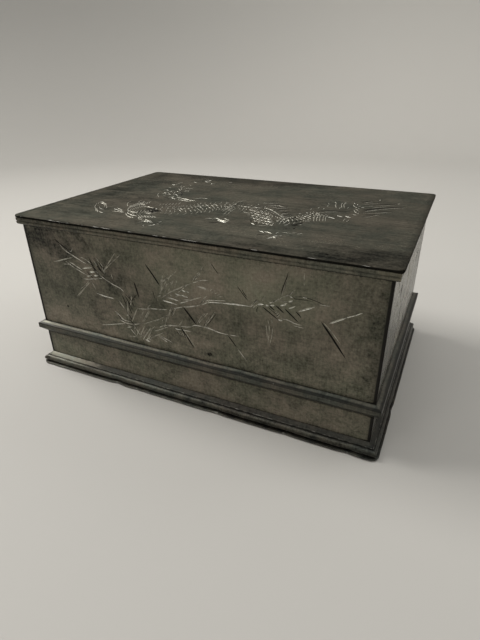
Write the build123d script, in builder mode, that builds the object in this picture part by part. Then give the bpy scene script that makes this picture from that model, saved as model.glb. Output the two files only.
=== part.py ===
from build123d import *
import math
import os

# Pewter tea box: a mitred case with two tea wells, a flat hinged lid and two lift-out inner lids.
# Frame: the origin is the centre of the foot's underside, +Z is up, the front faces -Y and the
# hinges are at +Y. All sizes are in millimetres.

# Case walls
body_width = 204.0
body_depth = 135.0
rim_height = 95.5
wall = 1.6

# Foot plate, and how far it shows past the base moulding
foot_thickness = 1.3
foot_ledge = 1.3
foot_corner_radius = 4.5
foot_edge_radius = 0.4

# Base moulding, from the top down: slope, quirk, bead, nose and cove
base_slope_width = 2.4
base_slope_drop = 1.5
base_quirk = 0.5
base_bead_radius = 1.8
base_nose = 0.9
base_cove_radius = 1.2

# Waist moulding, a half hexagon in section
waist_underside = 22.6
waist_projection = 3.4
waist_under_slope = 3.3
waist_nose = 3.0
waist_top_slope = 1.0
waist_nose_radius = 0.5

# Rim moulding under the lid
rim_projection = 2.2
rim_band = 3.9
rim_roll_radius = 1.2
rim_groove_height = 2.1
rim_groove_radius = 0.3

# Outer lid and the lips that centre it inside the walls
lid_thickness = 1.2
lid_gap = 0.4
lid_reveal = 0.8
lid_corner_radius = 0.8
lid_edge_chamfer = 0.2
lip_clearance = 0.5
lip_thickness = 1.2
lip_depth = 6.0
lip_chamfer = 0.4
lip_back_gap = 7.0

# Hinges, placed from the ends of the case
hinge_inset = 42.0
hinge_width = 30.0
hinge_clearance = 0.4
hinge_cutout_clearance = 1.5
knuckle_radius = 2.0
knuckle_gap = 0.3
lid_knuckle_length = 12.0
barrel_clearance = 0.3
pin_radius = 1.0
pin_fit = 0.05
pin_head_radius = 1.5
pin_head_height = 0.7
leaf_thickness = 0.8
leaf_height = 14.0
leaf_web = 1.6
pad_thickness = 0.8

# Tea wells: the partition with its cap, and the angle ledges on the walls
partition_thickness = 1.6
partition_cap_width = 10.0
ledge_drop = 17.0
ledge_width = 5.0
ledge_leg = 5.0
ledge_gauge = 1.2

# Inner lids with their collars and turned knobs
inner_lid_thickness = 1.6
inner_lid_clearance = 0.5
inner_lid_parting = 2.0
inner_lid_corner_radius = 1.0
inner_lid_edge_chamfer = 0.4
collar_depth = 8.0
collar_thickness = 1.2
collar_clearance = 0.5
knob_foot_radius = 4.5
knob_foot_height = 0.8
knob_neck_radius = 2.4
knob_neck_height = 0.5
knob_head_radius = 6.5
knob_head_flare = 1.2
knob_dome_rise = 3.2

# Sizes and levels that follow from the ones above
base_projection = base_slope_width + base_bead_radius
base_height = base_slope_drop + base_quirk + base_bead_radius + base_nose + base_cove_radius
foot_width = body_width + 2 * (base_projection + foot_ledge)
foot_depth = body_depth + 2 * (base_projection + foot_ledge)
inside_width = body_width - 2 * wall
inside_depth = body_depth - 2 * wall
lid_overhang = rim_projection + lid_reveal
lid_width = body_width + 2 * lid_overhang
lid_depth = body_depth + 2 * lid_overhang
lid_underside = rim_height + lid_gap
ledge_top = rim_height - ledge_drop
well_width = (inside_width - partition_cap_width) / 2 - ledge_width
well_depth = inside_depth - 2 * ledge_width
well_centre = (partition_cap_width + well_width) / 2
inner_lid_play = lip_clearance + lip_thickness + inner_lid_clearance
inner_lid_width = inside_width / 2 - inner_lid_play - inner_lid_parting / 2
inner_lid_depth = inside_depth - 2 * inner_lid_play
inner_lid_centre = (inner_lid_parting + inner_lid_width) / 2
hinge_spacing = body_width - 2 * hinge_inset
hinge_y = body_depth / 2 + hinge_clearance + knuckle_radius
hinge_z = lid_underside - barrel_clearance - knuckle_radius
hinge_cutout = hinge_width + 2 * hinge_cutout_clearance
case_knuckle_length = (hinge_width - lid_knuckle_length) / 2 - knuckle_gap

up = Vector(0, 0, 1)
outward_of = {
    "front": Vector(0, -1, 0),
    "right": Vector(1, 0, 0),
    "back": Vector(0, 1, 0),
    "left": Vector(-1, 0, 0),
}
hand_of = {"left": -1, "right": 1}

os.makedirs("parts", exist_ok=True)


def finish(piece, name):
    piece.label = name
    export_step(piece, f"parts/{name}.step")


# A straight strip along one side of a width by depth rectangle, mitred at the rectangle's corners.
# Its section is drawn with x pointing outwards from that side and y pointing up from the level.
def mitred_strip(side, width, depth, level, section, centre_x=0.0):
    outward = outward_of[side]
    along = up.cross(outward)
    if side in ("front", "back"):
        reach, length = depth / 2, width
    else:
        reach, length = width / 2, depth
    middle = Vector(centre_x, 0, 0) + outward * reach
    with BuildPart() as strip:
        with BuildSketch(Plane(origin=middle + up * level, x_dir=outward, z_dir=outward.cross(up))):
            add(section.sketch)
        extrude(amount=length, both=True)
        for end in (-1, 1):
            corner = middle + along * (end * length / 2)
            split(bisect_by=Plane(origin=corner, z_dir=outward - along * end))
    return strip.part


# Sections of the mitred strips
with BuildSketch() as wall_section:
    Rectangle(wall, rim_height - foot_thickness, align=(Align.MAX, Align.MIN))

nose_top = base_cove_radius + base_nose
quirk_foot = nose_top + base_bead_radius
with BuildSketch() as base_section:
    with BuildLine():
        Polyline((base_projection - base_cove_radius, 0), (0, 0), (0, base_height),
                 (base_slope_width, quirk_foot + base_quirk), (base_slope_width, quirk_foot))
        CenterArc((base_slope_width, nose_top), base_bead_radius, 0, 90)
        Line((base_projection, nose_top), (base_projection, base_cove_radius))
        CenterArc((base_projection, 0), base_cove_radius, 90, 90)
    make_face()

with BuildSketch() as waist_section:
    with BuildLine():
        Polyline((0, 0), (waist_projection, waist_under_slope),
                 (waist_projection, waist_under_slope + waist_nose),
                 (0, waist_under_slope + waist_nose + waist_top_slope), close=True)
    make_face()
    fillet(waist_section.vertices().group_by(Axis.X)[-1], waist_nose_radius)

with BuildSketch() as rim_section:
    Rectangle(rim_projection, rim_band, align=(Align.MIN, Align.MIN))
    fillet(rim_section.vertices().group_by(Axis.X)[-1].sort_by(Axis.Y)[0], rim_roll_radius)
    with Locations((rim_projection, rim_groove_height)):
        Circle(rim_groove_radius, mode=Mode.SUBTRACT)

with BuildSketch() as lip_section:
    Rectangle(lip_thickness, lip_depth, align=(Align.MAX, Align.MAX))
    chamfer(lip_section.vertices().group_by(Axis.Y)[0], lip_chamfer)

with BuildSketch() as collar_section:
    Rectangle(collar_thickness, collar_depth, align=(Align.MAX, Align.MAX))

# Section of the angle ledges: a level shelf with a leg down the wall, x inwards from the wall
with BuildSketch() as ledge_section:
    with BuildLine():
        Polyline((0, 0), (ledge_width, 0), (ledge_width, -ledge_gauge), (ledge_gauge, -ledge_gauge),
                 (ledge_gauge, -ledge_leg), (0, -ledge_leg), close=True)
    make_face()

# Foot plate, which is also the floor of the tea wells
with BuildPart() as foot_plate:
    with BuildSketch():
        RectangleRounded(foot_width, foot_depth, foot_corner_radius)
    extrude(amount=foot_thickness)
    fillet(foot_plate.edges().group_by(Axis.Z)[-1], foot_edge_radius)
finish(foot_plate.part, "foot_plate")

# Walls, base moulding and waist moulding: one mitred strip on each side
for side in outward_of:
    finish(mitred_strip(side, body_width, body_depth, foot_thickness, wall_section), f"{side}_panel")
    finish(mitred_strip(side, body_width, body_depth, foot_thickness, base_section), f"base_moulding_{side}")
    finish(mitred_strip(side, body_width, body_depth, waist_underside, waist_section), f"waist_moulding_{side}")

# Rim moulding: whole on three sides, and cut away for the two hinge barrels at the back
rim_level = rim_height - rim_band
for side in ("front", "right", "left"):
    finish(mitred_strip(side, body_width, body_depth, rim_level, rim_section), f"rim_moulding_{side}")

cutout_inner = (hinge_spacing - hinge_cutout) / 2
cutout_outer = (hinge_spacing + hinge_cutout) / 2
back_lengths = {
    "left": (-body_width, -cutout_outer),
    "middle": (-cutout_inner, cutout_inner),
    "right": (cutout_outer, body_width),
}
for place, (start, stop) in back_lengths.items():
    with BuildPart() as rim_length:
        add(mitred_strip("back", body_width, body_depth, rim_level, rim_section))
        split(bisect_by=Plane(origin=(start, 0, 0), z_dir=(1, 0, 0)))
        split(bisect_by=Plane(origin=(stop, 0, 0), z_dir=(-1, 0, 0)))
    finish(rim_length.part, f"rim_moulding_back_{place}")

# Partition between the tea wells, and the flat cap that carries the inner lids along it
with BuildPart() as partition:
    with BuildSketch(Plane.XY.offset(foot_thickness)):
        Rectangle(partition_thickness, inside_depth)
    extrude(amount=ledge_top - ledge_gauge - foot_thickness)
finish(partition.part, "partition")

with BuildPart() as partition_cap:
    with BuildSketch(Plane.XY.offset(ledge_top)):
        Rectangle(partition_cap_width, inside_depth)
    extrude(amount=-ledge_gauge)
finish(partition_cap.part, "partition_cap")


# Angle ledges along the walls
for side in ("left", "right"):
    hand = hand_of[side]
    with BuildPart() as side_ledge:
        wall_face = Vector(hand * inside_width / 2, 0, ledge_top)
        with BuildSketch(Plane(origin=wall_face, x_dir=(-hand, 0, 0), z_dir=(0, hand, 0))):
            add(ledge_section.sketch)
        extrude(amount=inside_depth / 2 - ledge_width, both=True)
    finish(side_ledge.part, f"ledge_{side}")

    ledge_middle = hand * (partition_cap_width + inside_width) / 4
    ledge_length = (inside_width - partition_cap_width) / 2
    for end in ("front", "back"):
        inward = -outward_of[end]
        with BuildPart() as end_ledge:
            wall_face = Vector(ledge_middle, 0, ledge_top) - inward * (inside_depth / 2)
            with BuildSketch(Plane(origin=wall_face, x_dir=inward, z_dir=inward.cross(up))):
                add(ledge_section.sketch)
            extrude(amount=ledge_length / 2, both=True)
        finish(end_ledge.part, f"ledge_{end}_{side}")

# Outer lid: a flat plate with three lips beneath it, none on the hinge side
with BuildPart() as lid_plate:
    with BuildSketch(Plane.XY.offset(lid_underside)):
        RectangleRounded(lid_width, lid_depth, lid_corner_radius)
    extrude(amount=lid_thickness)
    chamfer(lid_plate.edges().group_by(Axis.Z)[-1], lid_edge_chamfer)
finish(lid_plate.part, "lid_plate")

lip_width = inside_width - 2 * lip_clearance
lip_rectangle_depth = inside_depth - 2 * lip_clearance
finish(mitred_strip("front", lip_width, lip_rectangle_depth, lid_underside, lip_section), "lid_lip_front")
for side in ("left", "right"):
    with BuildPart() as side_lip:
        add(mitred_strip(side, lip_width, lip_rectangle_depth, lid_underside, lip_section))
        split(bisect_by=Plane(origin=(0, inside_depth / 2 - lip_back_gap, 0), z_dir=(0, -1, 0)))
    finish(side_lip.part, f"lid_lip_{side}")

# Hinges: each has a case leaf with two knuckles, a lid leaf with one knuckle, and a headed pin.
# Their sections are drawn in the YZ plane, where x is +Y and y is +Z.
back_face = body_depth / 2
leaf_foot = hinge_z - leaf_height

with BuildSketch() as case_knuckle_section:
    with Locations((back_face, leaf_foot)):
        Rectangle(leaf_thickness, leaf_height, align=(Align.MIN, Align.MIN))
    with Locations((back_face, hinge_z)):
        Rectangle(hinge_y - back_face, leaf_web, align=(Align.MIN, Align.CENTER))
    with Locations((hinge_y, hinge_z)):
        Circle(knuckle_radius)
        Circle(pin_radius + pin_fit, mode=Mode.SUBTRACT)

with BuildSketch() as leaf_plate_section:
    with Locations((back_face, leaf_foot)):
        Rectangle(leaf_thickness, leaf_height - knuckle_radius - hinge_clearance, align=(Align.MIN, Align.MIN))

with BuildSketch() as lid_knuckle_section:
    with Locations((hinge_y - knuckle_radius, lid_underside)):
        Rectangle(lid_depth / 2 - hinge_y + knuckle_radius, pad_thickness, align=(Align.MIN, Align.MAX))
    with Locations((hinge_y, hinge_z)):
        Circle(knuckle_radius)
        Circle(pin_radius + pin_fit, mode=Mode.SUBTRACT)

for side, hand in hand_of.items():
    hinge_middle = hand * hinge_spacing / 2
    hinge_start = hinge_middle - hinge_width / 2

    with BuildPart() as case_leaf:
        for knuckle_start in (hinge_start, hinge_start + hinge_width - case_knuckle_length):
            with BuildSketch(Plane.YZ.offset(knuckle_start)):
                add(case_knuckle_section.sketch)
            extrude(amount=case_knuckle_length)
        with BuildSketch(Plane.YZ.offset(hinge_start)):
            add(leaf_plate_section.sketch)
        extrude(amount=hinge_width)
    finish(case_leaf.part, f"hinge_case_leaf_{side}")

    with BuildPart() as lid_leaf:
        with BuildSketch(Plane.YZ.offset(hinge_middle)):
            add(lid_knuckle_section.sketch)
        extrude(amount=lid_knuckle_length / 2, both=True)
    finish(lid_leaf.part, f"hinge_lid_leaf_{side}")

    with BuildPart() as hinge_pin:
        with BuildSketch(Plane.YZ.offset(hinge_start - pin_head_height)):
            with Locations((hinge_y, hinge_z)):
                Circle(pin_radius)
        extrude(amount=hinge_width + 2 * pin_head_height)
        for head_start, head_side in ((hinge_start, -1), (hinge_start + hinge_width, 1)):
            with BuildSketch(Plane.YZ.offset(head_start)):
                with Locations((hinge_y, hinge_z)):
                    Circle(pin_head_radius)
            extrude(amount=head_side * pin_head_height)
        head_rims = hinge_pin.edges().filter_by(GeomType.CIRCLE).sort_by(Axis.X)
        fillet([head_rims[0], head_rims[-1]], pin_head_height / 2)
    finish(hinge_pin.part, f"hinge_pin_{side}")


# Half outline of the turned knob, x out from its axis and y up from the inner lid
knob_cove = knob_foot_radius - knob_neck_radius
knob_neck_foot = knob_foot_height + knob_cove
knob_neck_top = knob_neck_foot + knob_neck_height
knob_head_edge = knob_neck_top + knob_head_flare
knob_top = knob_head_edge + knob_dome_rise
dome_radius = (knob_head_radius**2 + knob_dome_rise**2) / (2 * knob_dome_rise)
dome_half_angle = math.asin(knob_head_radius / dome_radius) / 2
dome_middle = (dome_radius * math.sin(dome_half_angle),
               knob_top - dome_radius * (1 - math.cos(dome_half_angle)))
with BuildSketch() as knob_section:
    with BuildLine():
        Polyline((0, knob_top), (0, 0), (knob_foot_radius, 0), (knob_foot_radius, knob_foot_height))
        CenterArc((knob_foot_radius, knob_neck_foot), knob_cove, 180, 90)
        Polyline((knob_neck_radius, knob_neck_foot), (knob_neck_radius, knob_neck_top),
                 (knob_head_radius, knob_head_edge))
        ThreePointArc((knob_head_radius, knob_head_edge), dome_middle, (0, knob_top))
    make_face()

# Inner lids: each is a plate resting on the ledges and the cap, four collar strips and a knob
collar_width = well_width - 2 * collar_clearance
collar_rectangle_depth = well_depth - 2 * collar_clearance
for side, hand in hand_of.items():
    with BuildPart() as inner_lid:
        with BuildSketch(Plane.XY.offset(ledge_top)):
            with Locations((hand * inner_lid_centre, 0)):
                RectangleRounded(inner_lid_width, inner_lid_depth, inner_lid_corner_radius)
        extrude(amount=inner_lid_thickness)
        chamfer(inner_lid.edges().group_by(Axis.Z)[-1], inner_lid_edge_chamfer)
    finish(inner_lid.part, f"inner_lid_{side}")

    for edge in outward_of:
        collar = mitred_strip(edge, collar_width, collar_rectangle_depth, ledge_top, collar_section,
                              hand * well_centre)
        finish(collar, f"inner_collar_{side}_{edge}")

    with BuildPart() as knob:
        knob_foot = Vector(hand * well_centre, 0, ledge_top + inner_lid_thickness)
        with BuildSketch(Plane(origin=knob_foot, x_dir=(1, 0, 0), z_dir=(0, -1, 0))):
            add(knob_section.sketch)
        revolve(axis=Axis(knob_foot, up))
    finish(knob.part, f"inner_knob_{side}")
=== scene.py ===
import bpy
import bmesh
import math
from mathutils import Matrix, Vector, noise


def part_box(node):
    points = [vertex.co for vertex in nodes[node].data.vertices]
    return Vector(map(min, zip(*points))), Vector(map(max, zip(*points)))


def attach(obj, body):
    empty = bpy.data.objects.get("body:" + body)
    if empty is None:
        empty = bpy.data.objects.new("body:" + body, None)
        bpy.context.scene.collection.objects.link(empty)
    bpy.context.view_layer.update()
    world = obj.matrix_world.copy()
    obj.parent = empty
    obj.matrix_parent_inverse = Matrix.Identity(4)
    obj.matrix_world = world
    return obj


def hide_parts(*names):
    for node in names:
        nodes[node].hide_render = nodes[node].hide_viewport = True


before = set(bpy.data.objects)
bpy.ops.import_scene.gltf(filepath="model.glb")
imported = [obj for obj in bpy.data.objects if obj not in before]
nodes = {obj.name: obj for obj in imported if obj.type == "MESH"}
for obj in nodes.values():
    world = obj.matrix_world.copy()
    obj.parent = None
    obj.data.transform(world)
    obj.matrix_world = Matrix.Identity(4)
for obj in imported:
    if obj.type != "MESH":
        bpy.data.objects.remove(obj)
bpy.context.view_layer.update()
mm = 0.001


def corners(node):  # lowest and highest corner of a CAD piece, in mm
    return [tuple(round(value / mm, 3) for value in corner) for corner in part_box(node)]


# Sizes of the box that the looks follow, in mm: half widths, half depths and heights
lidX, lidY, lidTop = corners("lid_plate")[1]
wallX, wallY = corners("back_panel")[1][:2]
rimFoot = corners("rim_moulding_front")[0][2]
waistFoot, waistTop = (corner[2] for corner in corners("waist_moulding_front"))
baseTop = corners("base_moulding_front")[1][2]


class Wire:  # a node's output that can stand in sums
    def __init__(self, net, socket):
        self.net = net
        self.socket = socket

    def math(self, operation, *values):
        return self.net.add("ShaderNodeMath", {"operation": operation}, *values)

    def __add__(self, other):
        return self.math("ADD", self, other)

    def __sub__(self, other):
        return self.math("SUBTRACT", self, other)

    def __rsub__(self, other):
        return self.math("SUBTRACT", other, self)

    def __mul__(self, other):
        return self.math("MULTIPLY", self, other)

    def __truediv__(self, other):
        return self.math("DIVIDE", self, other)

    def __mod__(self, other):
        return self.math("MODULO", self, other)

    def __abs__(self):
        return self.math("ABSOLUTE", self)

    __radd__ = __add__

    def larger(self, other):
        return self.math("MAXIMUM", self, other)

    def swing(self, amount):  # a grain between 0 and 1, as plus or minus half the amount
        return (self - 0.5) * amount

    def output(self, name):  # another output of the same node
        return Wire(self.net, self.socket.node.outputs[name])


class Net:  # adds nodes to a shader tree or a geometry tree
    def __init__(self, tree):
        self.tree = tree

    def add(self, kind, settings=None, *values, out=0, **named):
        node = self.tree.nodes.new(kind)
        for key, value in (settings or {}).items():
            if key == "stops":
                self.setStops(node.color_ramp, value)
            else:
                setattr(node, key, value)
        usable = [socket for socket in node.inputs if socket.enabled]
        for socket, value in zip(usable, values):
            self.feed(socket, value)
        for name, value in named.items():
            wanted = name.replace("_", " ")
            self.feed(next(socket for socket in usable if socket.name == wanted), value)
        shown = [socket for socket in node.outputs if socket.enabled]
        if isinstance(out, str):
            return Wire(self, next(socket for socket in shown if socket.name == out))
        return Wire(self, shown[out]) if shown else None

    def feed(self, socket, value):
        if isinstance(value, Wire):
            self.tree.links.new(value.socket, socket)
        elif value is not None:
            socket.default_value = value

    def setStops(self, ramp, stops):  # each stop: its place and a grey tone
        while len(ramp.elements) < len(stops):
            ramp.elements.new(0.5)
        for element, (place, tone) in zip(ramp.elements, stops):
            element.position = place
            element.color = (tone, tone, tone, 1)

    def parts(self, vector):  # its x, y and z
        split = self.add("ShaderNodeSeparateXYZ", None, vector)
        return split, split.output("Y"), split.output("Z")

    def scaled(self, vector, amount):
        return self.add("ShaderNodeVectorMath", {"operation": "SCALE"}, vector, Scale=amount)

    def between(self, value, low, high, first=0.0, last=1.0):  # smooth step from low to high
        return self.add("ShaderNodeMapRange", {"interpolation_type": "SMOOTHSTEP"},
                        value, low, high, first, last)

    def grain(self, place, scale, detail, roughness, stretch=None, turn=(0, 0, 0)):
        if stretch:
            place = self.add("ShaderNodeMapping", None, place, (0, 0, 0), turn, stretch)
        return self.add("ShaderNodeTexNoise", None, Vector=place, Scale=scale, Detail=detail,
                        Roughness=roughness)

    def mix(self, amount, first, second):  # of two colours
        first = (*first, 1) if isinstance(first, tuple) else first
        second = (*second, 1) if isinstance(second, tuple) else second
        return self.add("ShaderNodeMix", {"data_type": "RGBA"}, amount, first, second)

    def bump(self, relief):  # from a relief in mm
        return self.add("ShaderNodeBump", None, Strength=1.0, Distance=mm, Height=relief)

    def random(self, kind, least, most, seed):
        return self.add("FunctionNodeRandomValue", {"data_type": kind}, least, most, Seed=seed)


def newMaterial(name):
    material = bpy.data.materials.new(name)
    material.use_nodes = True
    return material, Net(material.node_tree), material.node_tree.nodes["Principled BSDF"]


def placeInMm(net):  # where a point lies in the frame
    return net.scaled(net.add("ShaderNodeTexCoord", out="Object"), 1 / mm)


class Patina:  # the places, grains and layers that make up one pewter finish
    def __init__(self, net, look):
        self.net = net
        self.look = look
        self.place = placeInMm(net)
        self.x, self.y, self.height = net.parts(self.place)
        self.acrossX, self.acrossY = abs(self.x), abs(self.y)
        self.clouds = net.grain(self.place, 1 / look["cloud"], 3, 0.5)
        self.blotches = net.grain(self.place, 1 / look["blotch"], 4, 0.6)
        self.specks = net.grain(self.place, look["speckScale"], 4, 0.7)
        self.drawn = net.grain(self.place, 1.0, 3, 0.6, look["drawn"], look["drawnTurn"])
        self.scraped = net.grain(self.place, 1.0, 3, 0.6, look["scraped"], look["scrapedTurn"])
        self.ripple = net.grain(self.place, 1 / look["ripplePitch"], 3, 0.6, look["rippleStretch"])
        self.onSide = net.between(self.acrossX, *(wallX - inset for inset in look["sideInset"]))

    def tone(self, levels, height):  # the tone that belongs to a height
        top = levels[-1][0]
        stops = [(level / top, tone) for level, tone in levels]
        ramp = self.net.add("ShaderNodeValToRGB", {"stops": stops}, height / top)
        return self.net.add("ShaderNodeSeparateColor", None, ramp)

    def shade(self):  # how light the tint is: lines, mottling, stains and patches of painted light and shade, painted light levels by height, and painted reflection on the side walls
        look = self.look
        shade = 1.0 + self.drawn.swing(look["lines"]) + self.scraped.swing(look["lines"])
        shade = shade + self.specks.swing(look["speckle"]) + self.blotches.swing(look["mottle"])
        shade = shade + self.clouds.swing(look["clouding"])
        # patches of painted light and painted shade, with a few real stains
        for x, y, wide, tall, gain in look["stains"]:
            gapX = (self.x - x) / wide
            gapY = ((self.y if look["flat"] else self.height) - y) / tall
            reach = gapX * gapX + gapY * gapY + self.blotches.swing(look["stainRagged"])
            shade = shade + self.net.between(reach, 1.0, 0.0) * gain
        # painted light and shade by height
        if look["levels"]:
            shade = shade * self.tone(look["levels"], self.height + self.clouds.swing(look["wobble"]))
        # painted reflection on the side walls: a tone by height with streaks
        if look["sideLevels"]:
            tone = self.tone(look["sideLevels"], self.height + self.blotches.swing(look["sideWobble"]))
            streaky = tone * look["sideGain"] + self.ripple.swing(look["sideStreaks"])
            shade = shade * (1 - self.onSide + self.onSide * streaky)
        return shade

    def tint(self):  # a warm and a green tint drift over the middle one
        net, look = self.net, self.look
        hue = self.clouds * look["byClouds"] + self.blotches * (1 - look["byClouds"])
        warmPart = net.between(hue, *look["warmRange"]) * look["warmth"]
        greenPart = net.between(hue, *look["greenRange"]) * look["greenness"]
        return net.mix(greenPart, net.mix(warmPart, look["mid"], look["warm"]), look["green"])

    def dirtAndShade(self):  # darker: dirt in pits, painted shade with dirt along the joints with the mouldings, painted shade on the lid's edge face, and darker towards the ends and down each corner
        net, look = self.net, self.look
        dirtAndShade = net.between(net.grain(self.place, look["pitScale"], 4, 0.7), *look["pitRange"]) * look["pits"]
        # painted shade along the joints under the mouldings, with dirt in the joints
        for level, spread, strength in look["seams"]:
            band = net.between(abs(self.height - level) + self.specks.swing(spread), spread, 0.0)
            dirtAndShade = dirtAndShade + band * strength
        if look["ends"]:
            halfX, halfY, spread, strength = look["ends"]
            endX = net.between(self.acrossX + self.blotches.swing(spread), halfX - spread, halfX)
            endY = net.between(self.acrossY + self.blotches.swing(spread), halfY - spread, halfY)
            dirtAndShade = dirtAndShade + (endX.larger(endY) if look["flat"] else endX * endY) * strength
        if look["edgeLine"]:
            ragged = self.specks.swing(look["edgeRagged"])
            edgeX = net.between(self.acrossX + ragged, *(wallX - inset for inset in look["edgeInsetX"]))
            edgeY = net.between(self.acrossY + ragged, *(wallY - inset for inset in look["edgeInsetY"]))
            dirtAndShade = dirtAndShade + edgeX * edgeY * look["edgeLine"]
        # painted shade on the lid's edge face below its top
        if look["under"]:
            level, spread, strength, deepest, nearest = look["under"]
            atEdge = net.between(self.acrossX, lidX - deepest, lidX - nearest).larger(
                net.between(self.acrossY, lidY - deepest, lidY - nearest))
            dirtAndShade = dirtAndShade + net.between(self.height, level, level - spread) * strength * atEdge
        return net.between(dirtAndShade, 0.0, 1.0)

    def rubbed(self):  # bare metal, in patches, where a piece's rub attribute is high
        net, look = self.net, self.look
        rub = net.add("ShaderNodeAttribute", {"attribute_type": "GEOMETRY", "attribute_name": "rub"},
                      out="Fac")
        patches = (net.grain(self.place, look["patchScale"], 4, 0.7) - look["patchLevel"]) * look["rubPatch"]
        return net.between(rub + patches, look["rubFrom"], 1.0) * look["rubbing"]

    def roughness(self, dirtAndShade, rubbed):
        look = self.look
        rough = look["rough"] + self.blotches.swing(look["roughBlotches"])
        rough = rough + self.drawn.swing(look["roughLines"]) + dirtAndShade * look["roughDirt"]
        rough = rough - rubbed * look["smoothRubbed"] - self.onSide * look["smoothSide"]
        return self.net.between(rough, 0.0, 1.0, *look["roughRange"])

    def relief(self, dirtAndShade):  # in mm
        look = self.look
        swell = self.net.grain(self.place, 1 / look["swellPitch"], 2, 0.5)
        relief = swell * look["swell"] + self.ripple * (look["ripple"] + self.onSide * look["sideRipple"])
        relief = relief + self.drawn * look["drawnDepth"] + self.specks * look["grit"]
        return relief - dirtAndShade * look["dirtDepth"]


def pewter(name, look):
    material, net, shader = newMaterial(name)
    patina = Patina(net, look)
    dirtAndShade, rubbed = patina.dirtAndShade(), patina.rubbed()
    # dark where dirt and painted shade lie: pits, joints and the lid's edge
    soiledAndShaded = net.mix(dirtAndShade, net.scaled(patina.tint(), patina.shade()), look["soil"])
    net.feed(shader.inputs["Base Color"], net.mix(rubbed, soiledAndShaded, look["bare"]))
    net.feed(shader.inputs["Roughness"], patina.roughness(dirtAndShade, rubbed))
    net.feed(shader.inputs["Normal"], net.bump(patina.relief(dirtAndShade)))
    shader.inputs["Metallic"].default_value = look["metallic"]
    shader.inputs["Specular Tint"].default_value = (*[look["edgeTint"]] * 3, 1)
    return material


def cutFinish(name, look):  # the walls of an engraved line
    material, net, shader = newMaterial(name)
    place = placeInMm(net)
    patches = net.between(net.grain(place, look["patchScale"], 4, 0.7), *look["patchRange"])
    chatter = net.grain(place, look["chatterScale"], 3, 0.6)
    net.feed(shader.inputs["Base Color"], net.mix(patches, look["dull"], look["clean"]))
    net.feed(shader.inputs["Roughness"], look["rough"] + chatter.swing(look["roughSpread"]))
    net.feed(shader.inputs["Normal"], net.bump(chatter * look["chatter"]))
    shader.inputs["Metallic"].default_value = look["metallic"]
    shader.inputs["Specular IOR Level"].default_value = look["gloss"]
    return material


# The old pewter of the whole box; each part of it changes what differs there. Pitches are in mm,
# scales are per mm. Stains and painted light: patches of painted light and painted shade, and a few
# real stains: x, height (y on the flat lid), half width, half height and gain. Painted light levels:
# a height and its tone, painted light and shade by height. Seam shade: height, spread and strength of
# the dark band along a joint, painted shade under an overhang with dirt in the joint. Ends: half
# width, half depth, spread and strength. Under the lid: height, spread, strength, two insets; painted
# shade on the lid's edge face below its top.
oldPewter = {
    "mid": (0.107, 0.1, 0.075), "warm": (0.114, 0.099, 0.077), "warmth": 0.8,
    "green": (0.101, 0.101, 0.073), "greenness": 0.8,
    "byClouds": 0.6, "warmRange": (0.5, 0.6), "greenRange": (0.5, 0.41),
    # soil and shade: the colour of dirt in pits and of painted shade along joints and on the lid's edge
    "soil": (0.012, 0.011, 0.009), "bare": (0.34, 0.33, 0.29),
    "metallic": 0.75, "edgeTint": 1.0, "rough": 0.36, "roughBlotches": 0.2, "roughLines": 0.1,
    "roughDirt": 0.2, "smoothRubbed": 0.1, "smoothSide": 0.08, "roughRange": (0.12, 0.92),
    "cloud": 22.0, "clouding": 1.0, "blotch": 7.0, "mottle": 1.8, "speckScale": 0.65, "speckle": 2.6,
    "drawn": (0.035, 1.0, 1.6), "drawnTurn": (0, 0.35, 0),
    "scraped": (1.6, 1.6, 0.05), "scrapedTurn": (0, -0.2, 0), "lines": 0.55,
    "flat": False, "stains": (), "stainRagged": 1.4, "levels": (), "wobble": 0.0,
    "sideInset": (0.3, 0.05), "sideLevels": (), "sideWobble": 16.0, "sideStreaks": 0.0, "sideGain": 2.0,
    "pitScale": 0.35, "pitRange": (0.66, 0.74), "pits": 0.5,
    "seams": (), "ends": (), "under": (),
    "edgeLine": 0.0, "edgeRagged": 0.5, "edgeInsetX": (1.7, 0.7), "edgeInsetY": (1.3, 0.5),
    "patchScale": 0.3, "patchLevel": 0.62, "rubPatch": 0.7, "rubFrom": 0.86, "rubbing": 0.5,
    "swellPitch": 26.0, "swell": 0.35, "ripplePitch": 7.0, "rippleStretch": (1.0, 1.0, 0.14),
    "ripple": 0.1, "sideRipple": 0.0, "drawnDepth": 0.02, "grit": 0.035, "dirtDepth": 0.02,
}
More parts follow.
